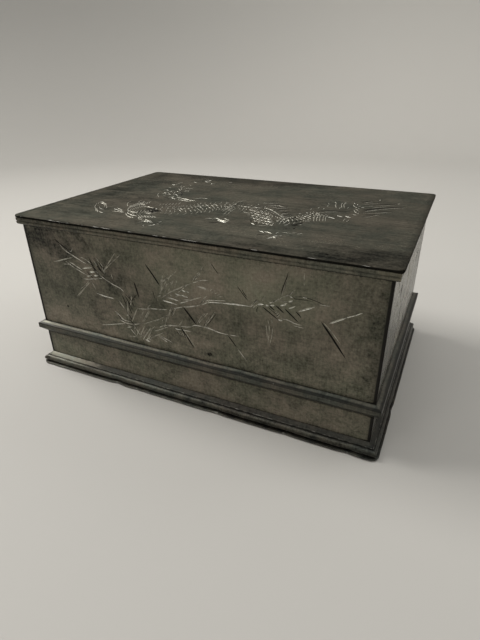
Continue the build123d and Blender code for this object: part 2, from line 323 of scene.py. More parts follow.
casePewter = pewter("casePewter", oldPewter | {
    "speckle": 2.1, "lines": 0.62,
    # painted shade with dirt along the joints with the rim, the waist and the base
    "seams": ((rimFoot - 0.1, 0.9, 1.3), (waistTop, 1.1, 0.75), (waistFoot, 1.2, 0.7), (baseTop, 1.1, 0.7)),
    "ends": (wallX, wallY, 5.0, 0.5), "edgeLine": 0.95,
    # patches of painted light and painted shade: lighter across the top middle and low at the left, darker at
    # the top left and along the right corner, some darker and lighter patches, and two small real spots last
    "stains": ((-82.0, 86.0, 34.0, 14.0, -0.55), (-41.0, 68.0, 12.0, 12.0, -0.35),
               (-82.0, 38.0, 24.0, 14.0, 0.12), (12.0, 78.0, 50.0, 20.0, 0.46),
               (56.0, 76.0, 34.0, 20.0, 0.48), (98.0, 60.0, 9.0, 36.0, -0.18),
               (-90.0, 12.0, 24.0, 8.0, 0.2), (-53.0, 48.0, 12.0, 10.0, -0.2),
               (-80.2, 44.0, 1.0, 1.2, -0.9), (15.5, 34.8, 1.6, 1.4, -0.8)),
    "wobble": 6.0,
    # painted light and shade by height: dark at the foot, lighter low on the front and at the top
    "levels": ((0.0, 0.6), (7.0, 1.4), (14.0, 1.35), (22.0, 1.05), (30.0, 1.4), (38.0, 1.25),
               (56.0, 1.05), (80.0, 1.04), (lidTop, 1.2)),
    # painted reflection on the side walls: lighter towards the top, with streaks
    "sideLevels": ((0.0, 0.3), (22.0, 0.32), (34.0, 0.36), (50.0, 0.5), (66.0, 0.6), (lidTop, 0.62)),
    "sideStreaks": 1.2, "sideRipple": 2.0, "ripplePitch": 12.0,
})
lidPewter = pewter("lidPewter", oldPewter | {
    "mid": (0.099, 0.093, 0.072), "warm": (0.105, 0.093, 0.072), "green": (0.092, 0.094, 0.074),
    "bare": (0.45, 0.44, 0.4), "edgeTint": 0.15, "rough": 0.55, "flat": True,
    # patches of painted light and painted shade: darker at the left, at the back and at the front right
    # corner, lighter in the middle
    "stains": ((90.0, -60.0, 34.0, 14.0, -0.5), (-30.0, 64.0, 95.0, 14.0, -0.4),
               (-86.0, -25.0, 34.0, 45.0, -0.22), (-52.0, -14.0, 20.0, 12.0, -0.2),
               (8.0, 14.0, 34.0, 14.0, 0.2), (36.0, -47.0, 42.0, 10.0, 0.22),
               (60.0, -66.0, 60.0, 5.0, -0.3), (-90.0, 30.0, 30.0, 40.0, -0.25)),
    "cloud": 34.0, "clouding": 0.6, "blotch": 12.0, "mottle": 0.8, "speckle": 1.5,
    "drawn": (0.04, 0.6, 1.0), "scraped": (0.05, 1.4, 1.0), "lines": 0.8,
    # darker towards the lid's edges, and painted shade on its edge face below the top
    "ends": (lidX, lidY, 4.0, 0.45), "under": (lidTop - 0.25, 0.15, 0.95, 1.2, 0.7),
    "rubPatch": 0.3, "rubFrom": 0.55, "rubbing": 0.9,
    "swell": 0.4, "ripple": 0.0, "drawnDepth": 0.01, "grit": 0.006,
})
stripPewter = oldPewter | {
    "cloud": 26.0, "clouding": 0.3, "blotch": 5.0, "speckle": 1.7, "drawn": (0.08, 0.08, 1.4), "lines": 1.0,
    "rough": 0.46, "swell": 0.2, "ripple": 0.0,
}
mouldingPewter = pewter("mouldingPewter", stripPewter | {
    "mid": (0.109, 0.106, 0.085), "warm": (0.118, 0.102, 0.081), "warmth": 0.6, "green": (0.098, 0.106, 0.09),
    "mottle": 1.5, "wobble": 0.4,
    # painted highlights on the base's top slope and the waist's top bead at the left, and painted shade on
    # the base at the right
    "stains": ((-88.0, 6.5, 30.0, 1.8, 4.6), (-84.0, 29.5, 60.0, 1.5, 0.2), (60.0, 3.5, 90.0, 5.0, -0.4)),
    # painted light and shade across the profiles: lighter slopes, dark quirks, coves and undersides
    "levels": ((0.0, 0.12), (0.5, 0.3), (0.8, 0.9), (1.25, 0.85), (1.4, 0.1), (2.3, 0.15),
               (2.6, 0.75), (3.3, 0.8), (3.5, 0.45), (3.8, 0.9), (4.7, 1.0), (5.15, 0.35),
               (5.6, 0.2), (5.75, 0.36), (6.9, 0.36), (waistFoot, 0.1), (22.95, 0.8), (25.6, 0.5),
               (26.1, 0.75), (28.2, 0.75), (28.55, 0.22), (29.25, 0.22), (29.45, 1.1),
               (29.75, 1.1), (waistTop, 0.15)),
    # painted shade on the mouldings of the side walls
    "sideLevels": ((0.0, 0.3), (40.0, 0.35), (90.0, 0.5), (lidTop, 0.5)),
})
rimPewter = pewter("rimPewter", stripPewter | {
    "mid": (0.114, 0.106, 0.08), "warm": (0.124, 0.104, 0.079), "warmth": 0.7, "green": (0.104, 0.105, 0.082),
    # darker towards the left end; painted light and shade across the rim's profile by height; an even tone on
    # the side walls
    "mottle": 1.4, "wobble": 0.3, "stains": ((-90.0, 94.0, 50.0, 5.0, -0.35),),
    "levels": ((0.0, 0.1), (91.75, 0.1), (92.05, 1.1), (93.2, 1.15), (93.6, 0.85), (94.1, 1.1),
               (95.1, 1.25), (lidTop, 1.4)),
    "sideLevels": ((0.0, 0.5), (lidTop, 0.5)),
})
innerPewter = pewter("innerPewter", oldPewter | {
    "mid": (0.235, 0.225, 0.2), "warm": (0.24, 0.215, 0.185), "green": (0.215, 0.22, 0.195),
    "soil": (0.04, 0.036, 0.03), "rough": 0.4, "cloud": 30.0, "blotch": 10.0, "mottle": 0.6,
    "speckle": 1.0, "lines": 0.2, "pits": 0.35, "swell": 0.25, "ripple": 0.0, "grit": 0.012,
})
hingeMetal = pewter("hingeMetal", oldPewter | {
    "mid": (0.16, 0.135, 0.095), "warm": (0.2, 0.13, 0.08), "green": (0.1, 0.11, 0.08),
    "rough": 0.38, "cloud": 12.0, "blotch": 4.0, "ripple": 0.0,
})

# What shows in an engraved line: bright metal, worn metal, a scale's metal, and near-black painted shade for
# groove walls that lie in shade
anyCut = {"patchScale": 0.45, "patchRange": (0.36, 0.6), "chatterScale": 3.0, "chatter": 0.03,
          "roughSpread": 0.2}
metalCut = anyCut | {"metallic": 0.8, "rough": 0.5, "gloss": 0.5}
cutLook = {
    "bright": metalCut | {"clean": (0.68, 0.67, 0.6), "dull": (0.34, 0.33, 0.28)},
    "worn": metalCut | {"clean": (0.54, 0.52, 0.45), "dull": (0.2, 0.19, 0.155)},
    "scale": metalCut | {"clean": (0.52, 0.5, 0.43), "dull": (0.13, 0.12, 0.1)},
    # painted shade: near black and dull, for strokes that stand for groove walls in shade
    "dark": anyCut | {"clean": (0.016, 0.014, 0.012), "dull": (0.006, 0.006, 0.005),
                      "metallic": 0.0, "rough": 0.8, "gloss": 0.1},
}
cutFinishes = {kind: cutFinish("cut" + kind.title(), look) for kind, look in cutLook.items()}
print("finishes made:", len(bpy.data.materials))

# How meshes are handled: corners merged within a distance in metres, faces joined that are flat
# within an angle, and edges kept sharp above an angle, both in degrees
meshLook = {"merge": 2e-6, "flat": 0.6, "sharp": 28.0}


def faceFrame(outward, up, middle):  # a plate is engraved flat: x along, y up, outer face at z = 0
    along = Vector(up).cross(Vector(outward))
    turn = Matrix((along, up, outward)).transposed().to_4x4()
    return Matrix.Translation(Vector(middle) * mm) @ turn


def workingCopy(node):  # a CAD mesh, merged and with its flat faces whole
    copy = bmesh.new()
    copy.from_mesh(nodes[node].data)
    bmesh.ops.remove_doubles(copy, verts=copy.verts, dist=meshLook["merge"])
    bmesh.ops.dissolve_limit(copy, angle_limit=math.radians(meshLook["flat"]),
                             verts=copy.verts, edges=copy.edges)
    return copy


def sliceAt(mesh, axis, place):  # one cut across an axis
    point, normal = [0, 0, 0], [0, 0, 0]
    point[axis], normal[axis] = place, 1
    everything = mesh.verts[:] + mesh.edges[:] + mesh.faces[:]
    bmesh.ops.bisect_plane(mesh, geom=everything, plane_co=point, plane_no=normal, dist=1e-7)


def sliceEvery(mesh, axis, pitch):  # cuts about a pitch apart, so that the metal can carry dents
    places = [vert.co[axis] for vert in mesh.verts]
    low, high = min(places), max(places)
    count = max(1, round((high - low) / pitch))
    for step in range(1, count):
        sliceAt(mesh, axis, low + (high - low) * step / count)


def plainMesh(name, mesh):  # a finished working mesh
    data = bpy.data.meshes.new(name)
    mesh.to_mesh(data)
    mesh.free()
    return data


def newObject(name, data):
    made = bpy.data.objects.new(name, data)
    bpy.context.collection.objects.link(made)
    return made


def newPiece(name, data, body, replaced=()):  # a finished piece of the tin
    if "custom_normal" in data.attributes:
        data.attributes.remove(data.attributes["custom_normal"])
    data.polygons.foreach_set("use_smooth", [True] * len(data.polygons))
    data.set_sharp_from_angle(angle=math.radians(meshLook["sharp"]))
    piece = newObject(name, data)
    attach(piece, body)
    if replaced:
        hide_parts(*replaced)


def newTree(name, inputs):  # a geometry tree with named inputs, and its first node
    tree = bpy.data.node_groups.new(name, "GeometryNodeTree")
    for label, kind in inputs.items():
        tree.interface.new_socket(label, in_out="INPUT", socket_type="NodeSocket" + kind)
    tree.interface.new_socket("Geometry", in_out="OUTPUT", socket_type="NodeSocketGeometry")
    net = Net(tree)
    return net, net.add("NodeGroupInput")


def runTree(name, tree, data, inputs):  # puts a mesh through a tree and returns the plain result
    holder = newObject(name, data)
    modifier = holder.modifiers.new(name, "NODES")
    modifier.node_group = tree
    for item in tree.interface.items_tree:
        if item.in_out == "INPUT" and item.name in inputs:
            modifier[item.identifier] = inputs[item.name]
    result = bpy.data.meshes.new_from_object(holder.evaluated_get(bpy.context.evaluated_depsgraph_get()))
    bpy.data.objects.remove(holder)
    return result


def curveHolder(name, kind, lines):  # splines through x, y and radius of each point, in metres
    curves = bpy.data.curves.new(name, "CURVE")
    curves.dimensions = "3D"
    for line in lines:
        spline = curves.splines.new(kind)
        spline.points.add(len(line) - 1)
        for point, (x, y, radius) in zip(spline.points, line):
            point.co = (x, y, 0, 1)
            point.radius = radius
    return newObject(name, curves)


def alongPath(points, share):  # a smooth line through the points
    spans = len(points) - 1
    span = min(int(share * spans), spans - 1)
    t = share * spans - span
    if spans == 1:
        return points[0].lerp(points[1], t)
    before = points[max(span - 1, 0)]
    first, second = points[span], points[span + 1]
    after = points[min(span + 2, spans)]
    return 0.5 * (2 * first + (second - before) * t
                  + (2 * before - 5 * first + 4 * second - after) * t ** 2
                  + (3 * first - before - 3 * second + after) * t ** 3)


# How a graver's stroke runs: the pitch of its points in mm, their number, and the parts of its
# length over which it widens and narrows
strokeLook = {"pitch": 1.6, "fewest": 5, "most": 12, "widens": 0.16, "narrows": 0.3, "tip": 0.05}


def strokeCurves(name, rows):  # each row: width, then x and y of its points
    lines = []
    for width, *values in rows:
        points = [Vector((x * mm, y * mm)) for x, y in zip(values[::2], values[1::2])]
        length = sum((b - a).length for a, b in zip(points, points[1:]))
        wanted = round(length / (strokeLook["pitch"] * mm))
        count = max(strokeLook["fewest"], min(strokeLook["most"], wanted))
        shares = [step / (count - 1) for step in range(count)]
        swells = [min(1.0, share / strokeLook["widens"] + strokeLook["tip"],
                      (1 - share) / strokeLook["narrows"] + strokeLook["tip"]) for share in shares]
        lines.append([(*alongPath(points, share), width * swell) for share, swell in zip(shares, swells)])
    return curveHolder(name, "POLY", lines)


# The dragon's scales: pitch along the body, rows across it, and bow, width, length and slant of one
# scale. Each strays from its row, follows the body in part, turns and has a size of its own.
scaleLook = {
    "pitch": 0.6, "rowsAcross": 4, "bow": 0.3, "width": 0.42, "length": 4.4, "slant": 96.0, "seed": 7,
    "belly": 1.05, "taper": 1.7, "stray": 0.25, "follow": 0.3, "turn": 0.2, "least": 0.3, "growth": 0.07,
    "sizes": (0.6, 1.25),
}


def bodyCurve(rows):  # each row: x, y and half the body's width
    holder = curveHolder("dragonBody", "NURBS", [[(x * mm, y * mm, half) for x, y, half in rows]])
    holder.data.splines[0].order_u = 3
    holder.data.splines[0].use_endpoint_u = True
    holder.data.resolution_u = 12
    return holder


def scaleCurve():  # one scale: a short slanting crescent
    slant = math.radians(scaleLook["slant"])
    line = []
    for share in (-0.5, -0.25, 0.0, 0.25, 0.5):
        bow = scaleLook["bow"] * (1 - 4 * share * share)
        along = share * scaleLook["length"]
        line.append(((bow + along * math.cos(slant)) * mm, along * math.sin(slant) * mm,
                     scaleLook["width"] * (scaleLook["belly"] - abs(share) * scaleLook["taper"])))
    return curveHolder("dragonScale", "POLY", [line])


# Geometry Nodes tree that engraves a plate: V-shaped cutters follow the strokes and the scales,
# which are set out along the body. Each cutter is taken from the plate by itself.
def engravingTree():
    # the shaded strokes carry painted shade for groove walls in shade
    strokes = {"Bright Strokes": "bright", "Worn Strokes": "worn", "Dark Strokes": "dark"}
    net, given = newTree("engraving", {
        "Geometry": "Geometry", **dict.fromkeys(strokes, "Object"), "Scale Path": "Object",
        "Scale Rib": "Object", "Cut Depth": "Float", "Overcut": "Float", "Scale Pitch": "Float",
        "Rows Across": "Float", "Seed": "Int", "Plate Finish": "Material",
    })
    depth, overcut, seed = given.output("Cut Depth"), given.output("Overcut"), given.output("Seed")
    finish = given.output("Plate Finish")

    def shapeOf(name):
        return net.add("GeometryNodeObjectInfo", None, given.output(name), out="Geometry")

    wide = (depth + overcut) / depth * (mm / math.sqrt(3))  # a circle of three points is sqrt(3) wide
    deep = (depth + overcut) / 1.5  # and 1.5 high
    corner = net.add("GeometryNodeCurvePrimitiveCircle", None, Resolution=3, Radius=1.0)
    upright = net.add("GeometryNodeTransform", None, corner, Rotation=(0, 0, math.pi / 2))
    profile = net.add("GeometryNodeTransform", None, upright,
                      Translation=net.add("ShaderNodeCombineXYZ", None, 0.0, depth - deep, 0.0),
                      Scale=net.add("ShaderNodeCombineXYZ", None, wide, deep, 1.0))

    evenly = net.add("GeometryNodeResampleCurve", {"mode": "LENGTH"}, shapeOf("Scale Path"),
                     Length=given.output("Scale Pitch"))
    rows = given.output("Rows Across")
    row = net.add("GeometryNodeInputIndex") % rows
    stray = net.random("FLOAT", -scaleLook["stray"], scaleLook["stray"], seed + 1)
    half = net.add("GeometryNodeInputRadius")
    tangent = net.add("GeometryNodeInputTangent")
    sideways = net.add("ShaderNodeVectorMath", {"operation": "CROSS_PRODUCT"}, (0, 0, 1), tangent)
    places = net.add("GeometryNodeSetPosition", None, evenly,
                     Offset=net.scaled(sideways, half * ((row + 0.5 + stray) / rows * 2 - 1) * mm))
    followed = net.add("FunctionNodeAlignRotationToVector", {"axis": "X"}, Factor=scaleLook["follow"],
                       Vector=tangent)
    jitter = net.random("FLOAT_VECTOR", (0, 0, -scaleLook["turn"]), (0, 0, scaleLook["turn"]), seed)
    turned = net.add("FunctionNodeRotateRotation", {"rotation_space": "LOCAL"}, followed,
                     net.add("FunctionNodeEulerToRotation", None, jitter))
    size = net.random("FLOAT", *scaleLook["sizes"], seed + 2)
    ribs = net.add("GeometryNodeInstanceOnPoints", None, places, Instance=shapeOf("Scale Rib"),
                   Rotation=turned, Scale=(scaleLook["least"] + half * scaleLook["growth"]) * size)
    scales = net.add("GeometryNodeRealizeInstances", None, ribs)

    joined = net.add("GeometryNodeJoinGeometry")
    lines = [(shapeOf(name), kind) for name, kind in strokes.items()] + [(scales, "scale")]
    for line, kind in lines:
        level = net.add("GeometryNodeSetCurveNormal", {"mode": "Z_UP"}, line)
        blades = net.add("GeometryNodeCurveToMesh", None, level, profile,
                         Scale=net.add("GeometryNodeInputRadius"), Fill_Caps=True)
        net.feed(joined.socket.node.inputs[0],
                 net.add("GeometryNodeSetMaterial", None, blades, Material=cutFinishes[kind]))
    single = net.add("GeometryNodeSplitToInstances", {"domain": "FACE"}, joined,
                     Group_ID=net.add("GeometryNodeInputMeshIsland"))
    plate = net.add("GeometryNodeSetMaterial", None, given, Material=finish)
    cut = net.add("GeometryNodeMeshBoolean", {"operation": "DIFFERENCE", "solver": "MANIFOLD"}, plate, single)
    whole = net.add("GeometryNodeRealizeInstances", None, cut)
    isPlate = net.add("GeometryNodeMaterialSelection", None, finish)
    net.add("NodeGroupOutput", None, net.add("GeometryNodeSetMaterial", None, whole, isPlate, finish))
    return net.tree


engraving = engravingTree()


def engrave(name, mesh, look, cuts, finish, bodyPath=()):  # cuts strokes and scales into a flat plate
    holders = {kind.title() + " Strokes": strokeCurves(name + kind.title(), rows)
               for kind, rows in cuts.items()}
    if bodyPath:
        holders |= {"Scale Path": bodyCurve(bodyPath), "Scale Rib": scaleCurve()}
    result = runTree(name, engraving, plainMesh(name, mesh), holders | {
        "Cut Depth": look["cutDepth"] * mm, "Overcut": look["overcut"] * mm, "Plate Finish": finish,
        "Scale Pitch": scaleLook["pitch"] * mm, "Rows Across": scaleLook["rowsAcross"],
        "Seed": scaleLook["seed"]})
    for holder in holders.values():
        bpy.data.objects.remove(holder)
    return result


# Engraved lines, in mm: width, then x and y of the points, on the lid seen from above
dragonCuts = {
    "worn": (
        (0.57, -77, -32.2, -79.1, -28.4, -77.2, -27.8, -72, -31.2, -68.1, -35.1),
        (0.41, -76.8, -31.1, -75, -30.4, -70.6, -33.6, -68, -37.4),
        (0.41, -65.8, -39.3, -66.1, -37.6, -68.1, -35.1), (0.49, -71.2, -40.3, -67.1, -44.5, -63.7, -47.7),
        (0.33, -74.3, -38.1, -69, -43.5, -65.8, -46.7), (0.33, -65.8, -44.9, -62.3, -47.1, -60.5, -46.9),
        (0.33, -78.3, -31.7, -75.9, -35.8, -73.2, -39.6), (0.41, -50.2, -42, -54.3, -41.9, -58.3, -42.7),
        (0.33, -54, -38.2, -57.3, -36.8, -59.7, -35.9), (0.61, -52.9, -34.2, -54.7, -30.7, -56.4, -27.5),
        (0.61, -52.6, -31.4, -54.4, -27.9, -56.1, -24.6), (0.61, -52.3, -28.6, -54.1, -25, -55.8, -21.7),
        (0.61, -52, -25.7, -53.8, -22.1, -55.6, -18.7), (0.61, -51.7, -22.8, -53.6, -19.1, -55.3, -15.6),
        (0.45, -49, -37.9, -51.4, -33), (0.45, -48.7, -36.5, -51.1, -31.5),
        (0.45, -48.4, -35.1, -50.8, -30.1), (0.45, -48.1, -33.7, -50.5, -28.6),
        (0.45, -47.8, -32.2, -50.1, -27.1), (0.45, -47.4, -30.8, -49.8, -25.6),
        (0.45, -47.1, -29.3, -49.5, -24.1), (0.41, -42.6, -40.8, -44.3, -36.5),
        (0.41, -41.8, -38.4, -43.6, -34), (0.41, -41.1, -35.9, -42.8, -31.5),
        (0.49, -49.9, -38.3, -47.4, -39.1, -45.1, -39.4, -41.7, -40.4),
        (0.49, -47.9, -42, -44.8, -43.8, -40.9, -45.6, -38.2, -45.2),
        (0.41, -48.2, -43, -44.9, -46.3, -41.2, -48.6, -37.8, -48.4),
        (0.41, -45.5, -42.7, -46.3, -40.6, -44.7, -41, -42.9, -43),
        (0.33, -40.9, -44.3, -39.9, -42.8, -39.7, -40.3), (0.33, -36.5, -47.5, -34, -48.1, -32.8, -46.9),
        (0.29, -56.1, -30.5, -60, -26.2, -62.2, -22, -62.7, -19.1),
        (0.33, -56.4, -20.6, -57.6, -16.6, -57.3, -14.7), (0.29, -53, -21.3, -54.5, -17, -54.1, -15.1),
        (0.49, -53.7, -22, -50.8, -22.8, -48.7, -23.5), (0.57, -47.3, -26.9, -44.4, -26.5, -40, -28.1),
        (0.33, -40.6, -36.2, -36.3, -36.4, -33.5, -34.5), (0.33, -38.5, -38.4, -34.6, -38.9, -32.2, -37.2),
        (0.29, -40.7, -31.7, -39.6, -34, -38.2, -35.2), (0.29, -39.1, -43.9, -36.4, -46.1, -34.5, -46.6),
        (0.29, -37.5, -43.5, -34.9, -45.6, -32.9, -46.1), (0.29, -35.8, -43.1, -33.3, -45.1, -31.4, -45.7),
        (0.29, -34.1, -42.8, -31.8, -44.7, -29.8, -45.2), (0.29, -32.4, -42.4, -30.2, -44.2, -28.3, -44.7),
        (0.29, -30.8, -42.1, -28.7, -43.7, -26.7, -44.2), (0.32, -29.4, -52.2, -27.3, -53.2, -25.7, -53.5),
        (0.27, -30.5, -49.5, -27.9, -50.3, -25, -51), (0.33, -30.2, -56, -29.5, -54.2, -28.9, -52.3),
        (0.57, -21.9, -58.8, -20.6, -57.3, -19.7, -55.2), (0.49, -19.5, -54.8, -19, -53.4),
        (0.29, -35.5, -48.7, -32.6, -50.7, -30.2, -51.3), (0.41, -51.8, 52.3, -49.4, 54.8, -46.1, 54.6),
        (0.74, -55.1, 43.6, -54, 45.2), (0.49, -63.4, 30.8, -63.6, 37.1, -62.9, 43),
        (0.49, -55.5, 43.3, -53.6, 45), (0.66, -60.6, 13.8, -60.8, 16.8, -57.2, 14.4),
        (0.49, -55.1, 3.6, -56.9, 8.2, -53.9, 7), (0.57, -52.5, 2.9, -52.3, 6.5, -49.6, 5.1),
        (0.49, -48.2, 5.7, -50.3, 10.9, -51.8, 14), (0.49, -46.4, -2.4, -46.7, 0.1, -44, 0.5),
        (0.41, -54.7, 22.3, -51.7, 19.6, -49.3, 15), (0.49, -50.2, 21.8, -50.4, 24.8, -49.9, 27.4),
        (0.41, -47.6, 19.4, -45.6, 18.4, -44.9, 21.6), (0.41, -59.7, 7.1, -57, 1.1, -52.3, -3.9),
        (0.41, -40.3, -2, -35.4, -1.2, -26.7, -4.7), (0.33, -38.2, -4.7, -32, -5.3, -27.7, -5.8),
        (0.33, -30.4, 0.1, -26.3, 4.4, -21.2, 3.9), (0.33, -58.2, 32.9, -56.2, 27.6, -53.4, 26),
        (0.37, -20.3, -16.4, -17.3, -14.6, -15.1, -12.9), (0.49, -14.8, -13.6, -14.4, -11.1, -14.2, -8.6),
        (0.33, -2.5, 3.9, -0.3, 5.8, 1.9, 9.9), (0.41, 3.2, -3.8, 8.4, -4.5, 14, -3.9, 18.3, -2.9),
        (0.41, 18.3, -2.9, 22.8, -4.7, 28.5, -9.9, 34, -16.1), (0.57, 18.2, -1.4, 18.6, -0.1),
        (0.66, 24.1, -4.5, 24.5, -3.3), (0.49, 3.2, -23.2, 2, -13.4, 1.1, -3.1),
        (0.41, 0.3, -19.5, -0.2, -12.8, -0.7, -5.4), (0.41, -0.6, -13, -0.5, -4.3, -0.6, 4.2),
        (0.41, 5.7, -25.4, 4.4, -16.4, 3.9, -9.2), (0.33, 3.8, -25.4, 3.5, -21.2),
        (0.41, 11.1, -15.4, 13.2, -15.9, 15.2, -15.8), (0.49, 12.3, -9.3, 14.3, -11, 14.8, -10.1),
        (0.37, 14.3, -11.3, 13.7, -8.3, 13.4, -5.9), (0.49, 15.3, -10.4, 17.2, -12.1, 17.7, -11.2),
        (0.37, 17.2, -12.5, 16.7, -9.5, 16.4, -7), (0.49, 18.2, -11.5, 20.1, -13.2, 20.6, -12.3),
        (0.37, 20.1, -13.6, 19.6, -10.6, 19.3, -8.2), (0.37, 22.9, -14.6, 22.4, -11.7, 22.2, -9.3),
        (0.49, 23.9, -13.7, 25.7, -15.4, 26.2, -14.5), (0.37, 25.7, -15.7, 25.3, -12.8, 25, -10.4),
        (0.37, 17.3, -16.5, 16.7, -13.6, 16.4, -11.2), (0.49, 18.2, -15.6, 20, -17.2, 20.6, -16.3),
        (0.37, 20.1, -17.5, 19.6, -14.6, 19.3, -12.3), (0.49, 21.1, -16.6, 22.8, -18.2, 23.4, -17.3),
        (0.37, 22.9, -18.6, 22.4, -15.7, 22.1, -13.4), (0.49, 23.8, -17.7, 25.6, -19.3, 26.1, -18.4),
        (0.37, 25.6, -19.6, 25.2, -16.8, 24.9, -14.5), (0.49, 26.6, -18.7, 28.3, -20.3, 28.8, -19.4),
        (0.37, 28.3, -20.6, 27.9, -17.8, 27.7, -15.5), (0.49, 18.2, -19.5, 20, -21.1, 20.5, -20.2),
        (0.37, 20.1, -21.4, 19.6, -18.6, 19.3, -16.3), (0.49, 21, -20.5, 22.8, -22.1, 23.3, -21.2),
        (0.37, 22.8, -22.4, 22.3, -19.6, 22.1, -17.4), (0.37, 25.5, -23.4, 25.1, -20.6, 24.9, -18.4),
        (0.49, 26.5, -22.5, 28.2, -24, 28.7, -23.2), (0.37, 28.2, -24.3, 27.8, -21.6, 27.6, -19.4),
        (0.49, 29.2, -23.5, 30.8, -25, 31.3, -24.1), (0.37, 30.9, -25.3, 30.5, -22.6, 30.3, -20.4),
        (0.49, 21, -24.3, 22.7, -25.8, 23.2, -25), (0.37, 22.8, -26.1, 22.3, -23.4, 22.1, -21.2),
        (0.49, 23.7, -25.3, 25.4, -26.8, 25.9, -25.9), (0.37, 25.5, -27.1, 25, -24.4, 24.8, -22.2),
        (0.49, 26.4, -26.2, 28.1, -27.7, 28.6, -26.9), (0.37, 28.1, -28, 27.7, -25.3, 27.5, -23.2),
        (0.49, 29, -27.1, 30.7, -28.6, 31.2, -27.8), (0.37, 30.7, -28.9, 30.3, -26.3, 30.1, -24.2),
        (0.37, 33.3, -29.8, 32.9, -27.2, 32.8, -25.1), (0.49, 23.7, -28.9, 25.3, -30.4, 25.8, -29.6),
        (0.37, 25.4, -30.7, 24.9, -28.1, 24.7, -26), (0.37, 28, -31.6, 27.6, -29, 27.4, -26.9),
        (0.49, 28.9, -30.7, 30.5, -32.2, 31.1, -31.3), (0.37, 30.6, -32.4, 30.2, -29.9, 30, -27.8),
        (0.49, 31.5, -31.6, 33.1, -33, 33.6, -32.2), (0.37, 33.1, -33.3, 32.8, -30.8, 32.6, -28.7),
        (0.49, 34, -32.5, 35.6, -33.9, 36.1, -33.1), (0.37, 35.6, -34.1, 35.3, -31.6, 35.2, -29.6),
        (0.41, 28.4, -34.1, 26.6, -28.8, 26, -25.9), (0.33, 28.5, -36.3, 32.7, -35.2, 35.3, -33.4),
        (0.49, 35.8, -26.4, 35.4, -22, 34.9, -18.3), (0.57, 7.2, -34.6, 10, -35.8, 12.4, -35.7),
        (0.33, -2.1, -34.5, 0.6, -34.3, 2.4, -34.2), (0.33, 7, -30.7, 9.8, -32.7, 12, -33.4),
        (0.74, 35.9, -45.1, 37.9, -44.9, 41, -46.6), (0.49, 42.9, -50.7, 45.1, -52.3),
        (0.29, 44.3, -42.2, 48.3, -42.5, 51.3, -40.1), (0.41, 52, -42.2, 54.2, -40.6),
        (0.29, 18.2, 3.2, 23.3, 4.7, 30.9, 2.7), (0.29, 13.6, 7.2, 18, 8.3, 22.6, 11.4),
        (0.29, 25, -0.9, 27.9, -0, 31.1, 2), (0.29, 28.8, -5.9, 31.2, -5, 33.5, -3.2),
        (0.29, 32.3, -11.4, 34.1, -10.3, 35.5, -8.3), (0.29, 34.7, -15.5, 36.6, -15, 38.5, -12.2),
        (0.29, 19.6, -0.4, 22.5, 0.7, 25, 0.3), (0.29, 37.1, -17.4, 38.8, -17.2, 39.9, -14.3),
        (0.57, 40.9, -7.3, 41.8, -6.1), (0.25, 49.5, -2.3, 54.3, 2.1, 60.6, 4.2),
        (0.49, 63.6, 23, 65.3, 19.5, 67.3, 17.3), (0.41, 66.6, 12.1, 68.4, 7.1, 69.6, 6.6),
        (0.41, 66.6, 15, 68.3, 12.8, 69.1, 11.2), (0.41, 53.8, 24.3, 54.3, 19.1, 56.6, 11.9),
        (0.41, 56.9, 25.6, 57.4, 20.4, 59.6, 13.1), (0.41, 58.3, 26.1, 58.7, 20.9, 60.9, 13.6),
        (0.41, 49.5, -2.7, 50.8, -11.2, 52.9, -18.9), (0.41, 51.2, -2.9, 52.2, -10.6, 54.3, -18.3),
        (0.41, 52.9, -3.3, 53.6, -10, 55.6, -17.7), (0.41, 54.9, -3.8, 55.2, -9.3, 57.2, -17),
        (0.41, 56.4, -4.1, 56.4, -8.8, 58.4, -16.6), (0.37, 48, -19.3, 49.8, -19.5, 51.5, -17.8),
        (0.33, 68.5, -13.1, 68.6, -10.6, 69.2, -8.7), (0.33, 66.8, -13, 66.4, -9.8, 66.6, -7.2),
        (0.41, 51.9, 26.8, 54.1, 22.2), (0.37, 49.3, 22.4, 50.9, 17.7),
        (0.25, 67.8, 27.9, 70.3, 32.2, 73.3, 35.8), (0.25, 70, 22.1, 77.6, 26.3, 87, 32.5),
        (0.25, 71.4, 10.8, 81.1, 19.6, 92.8, 28.3), (0.25, 73.3, 6.7, 80.4, 10.6, 87.5, 14.8),
        (0.25, 75.2, 2, 78.6, 4, 81.8, 6.9), (0.25, 68.3, 26, 72.8, 29.3, 77.2, 32.6),
        (0.25, 72.3, 8.5, 75.9, 13.6, 79.1, 16.7), (0.25, 74.9, -0.8, 77.8, 1.2, 79.1, 2.9),
        (0.25, 75.1, 20.5, 78.6, 23.4, 82, 26.2), (0.74, 75.2, 40, 76.2, 40.4), (0.82, 86.9, 34.3, 87.9, 36),
        (0.45, -66.3, 32.6, -64.1, 33), (0.45, -48.1, 5.5, -46.5, 7.5), (0.45, -51.5, 15.2, -49.7, 14.6),
        (0.45, -47.8, 10.8, -45.6, 12), (0.45, -55.1, 14.6, -54.3, 16.4), (0.45, -55.6, 28.7, -53.4, 28.9),
        (0.45, -50.6, 24.4, -49.2, 25.8), (0.45, -53.5, 35.4, -51.7, 34.4), (0.45, -47.5, 26, -45.3, 27),
        (0.45, -56.8, 10, -54.2, 10.6), (0.45, -53, 1.1, -51.8, 2.9), (0.45, -47, -0.2, -44, 0.8),
        (0.45, -56.3, 45.3, -53.9, 45.5), (0.45, -46.7, 16.3, -45.3, 17.3), (0.45, -53.2, 22.4, -51.2, 22),
        (0.45, -45.6, 18.2, -44, 18.8), (0.45, -62.8, 22.7, -61.2, 23.9), (0.45, -42.2, 0.1, -38.6, 0.5),
        (0.45, -36.2, -2.2, -31.4, -2), (0.45, -30.8, -3.8, -26.4, -3.4), (0.45, -19.3, -13.8, -16.7, -13.2),
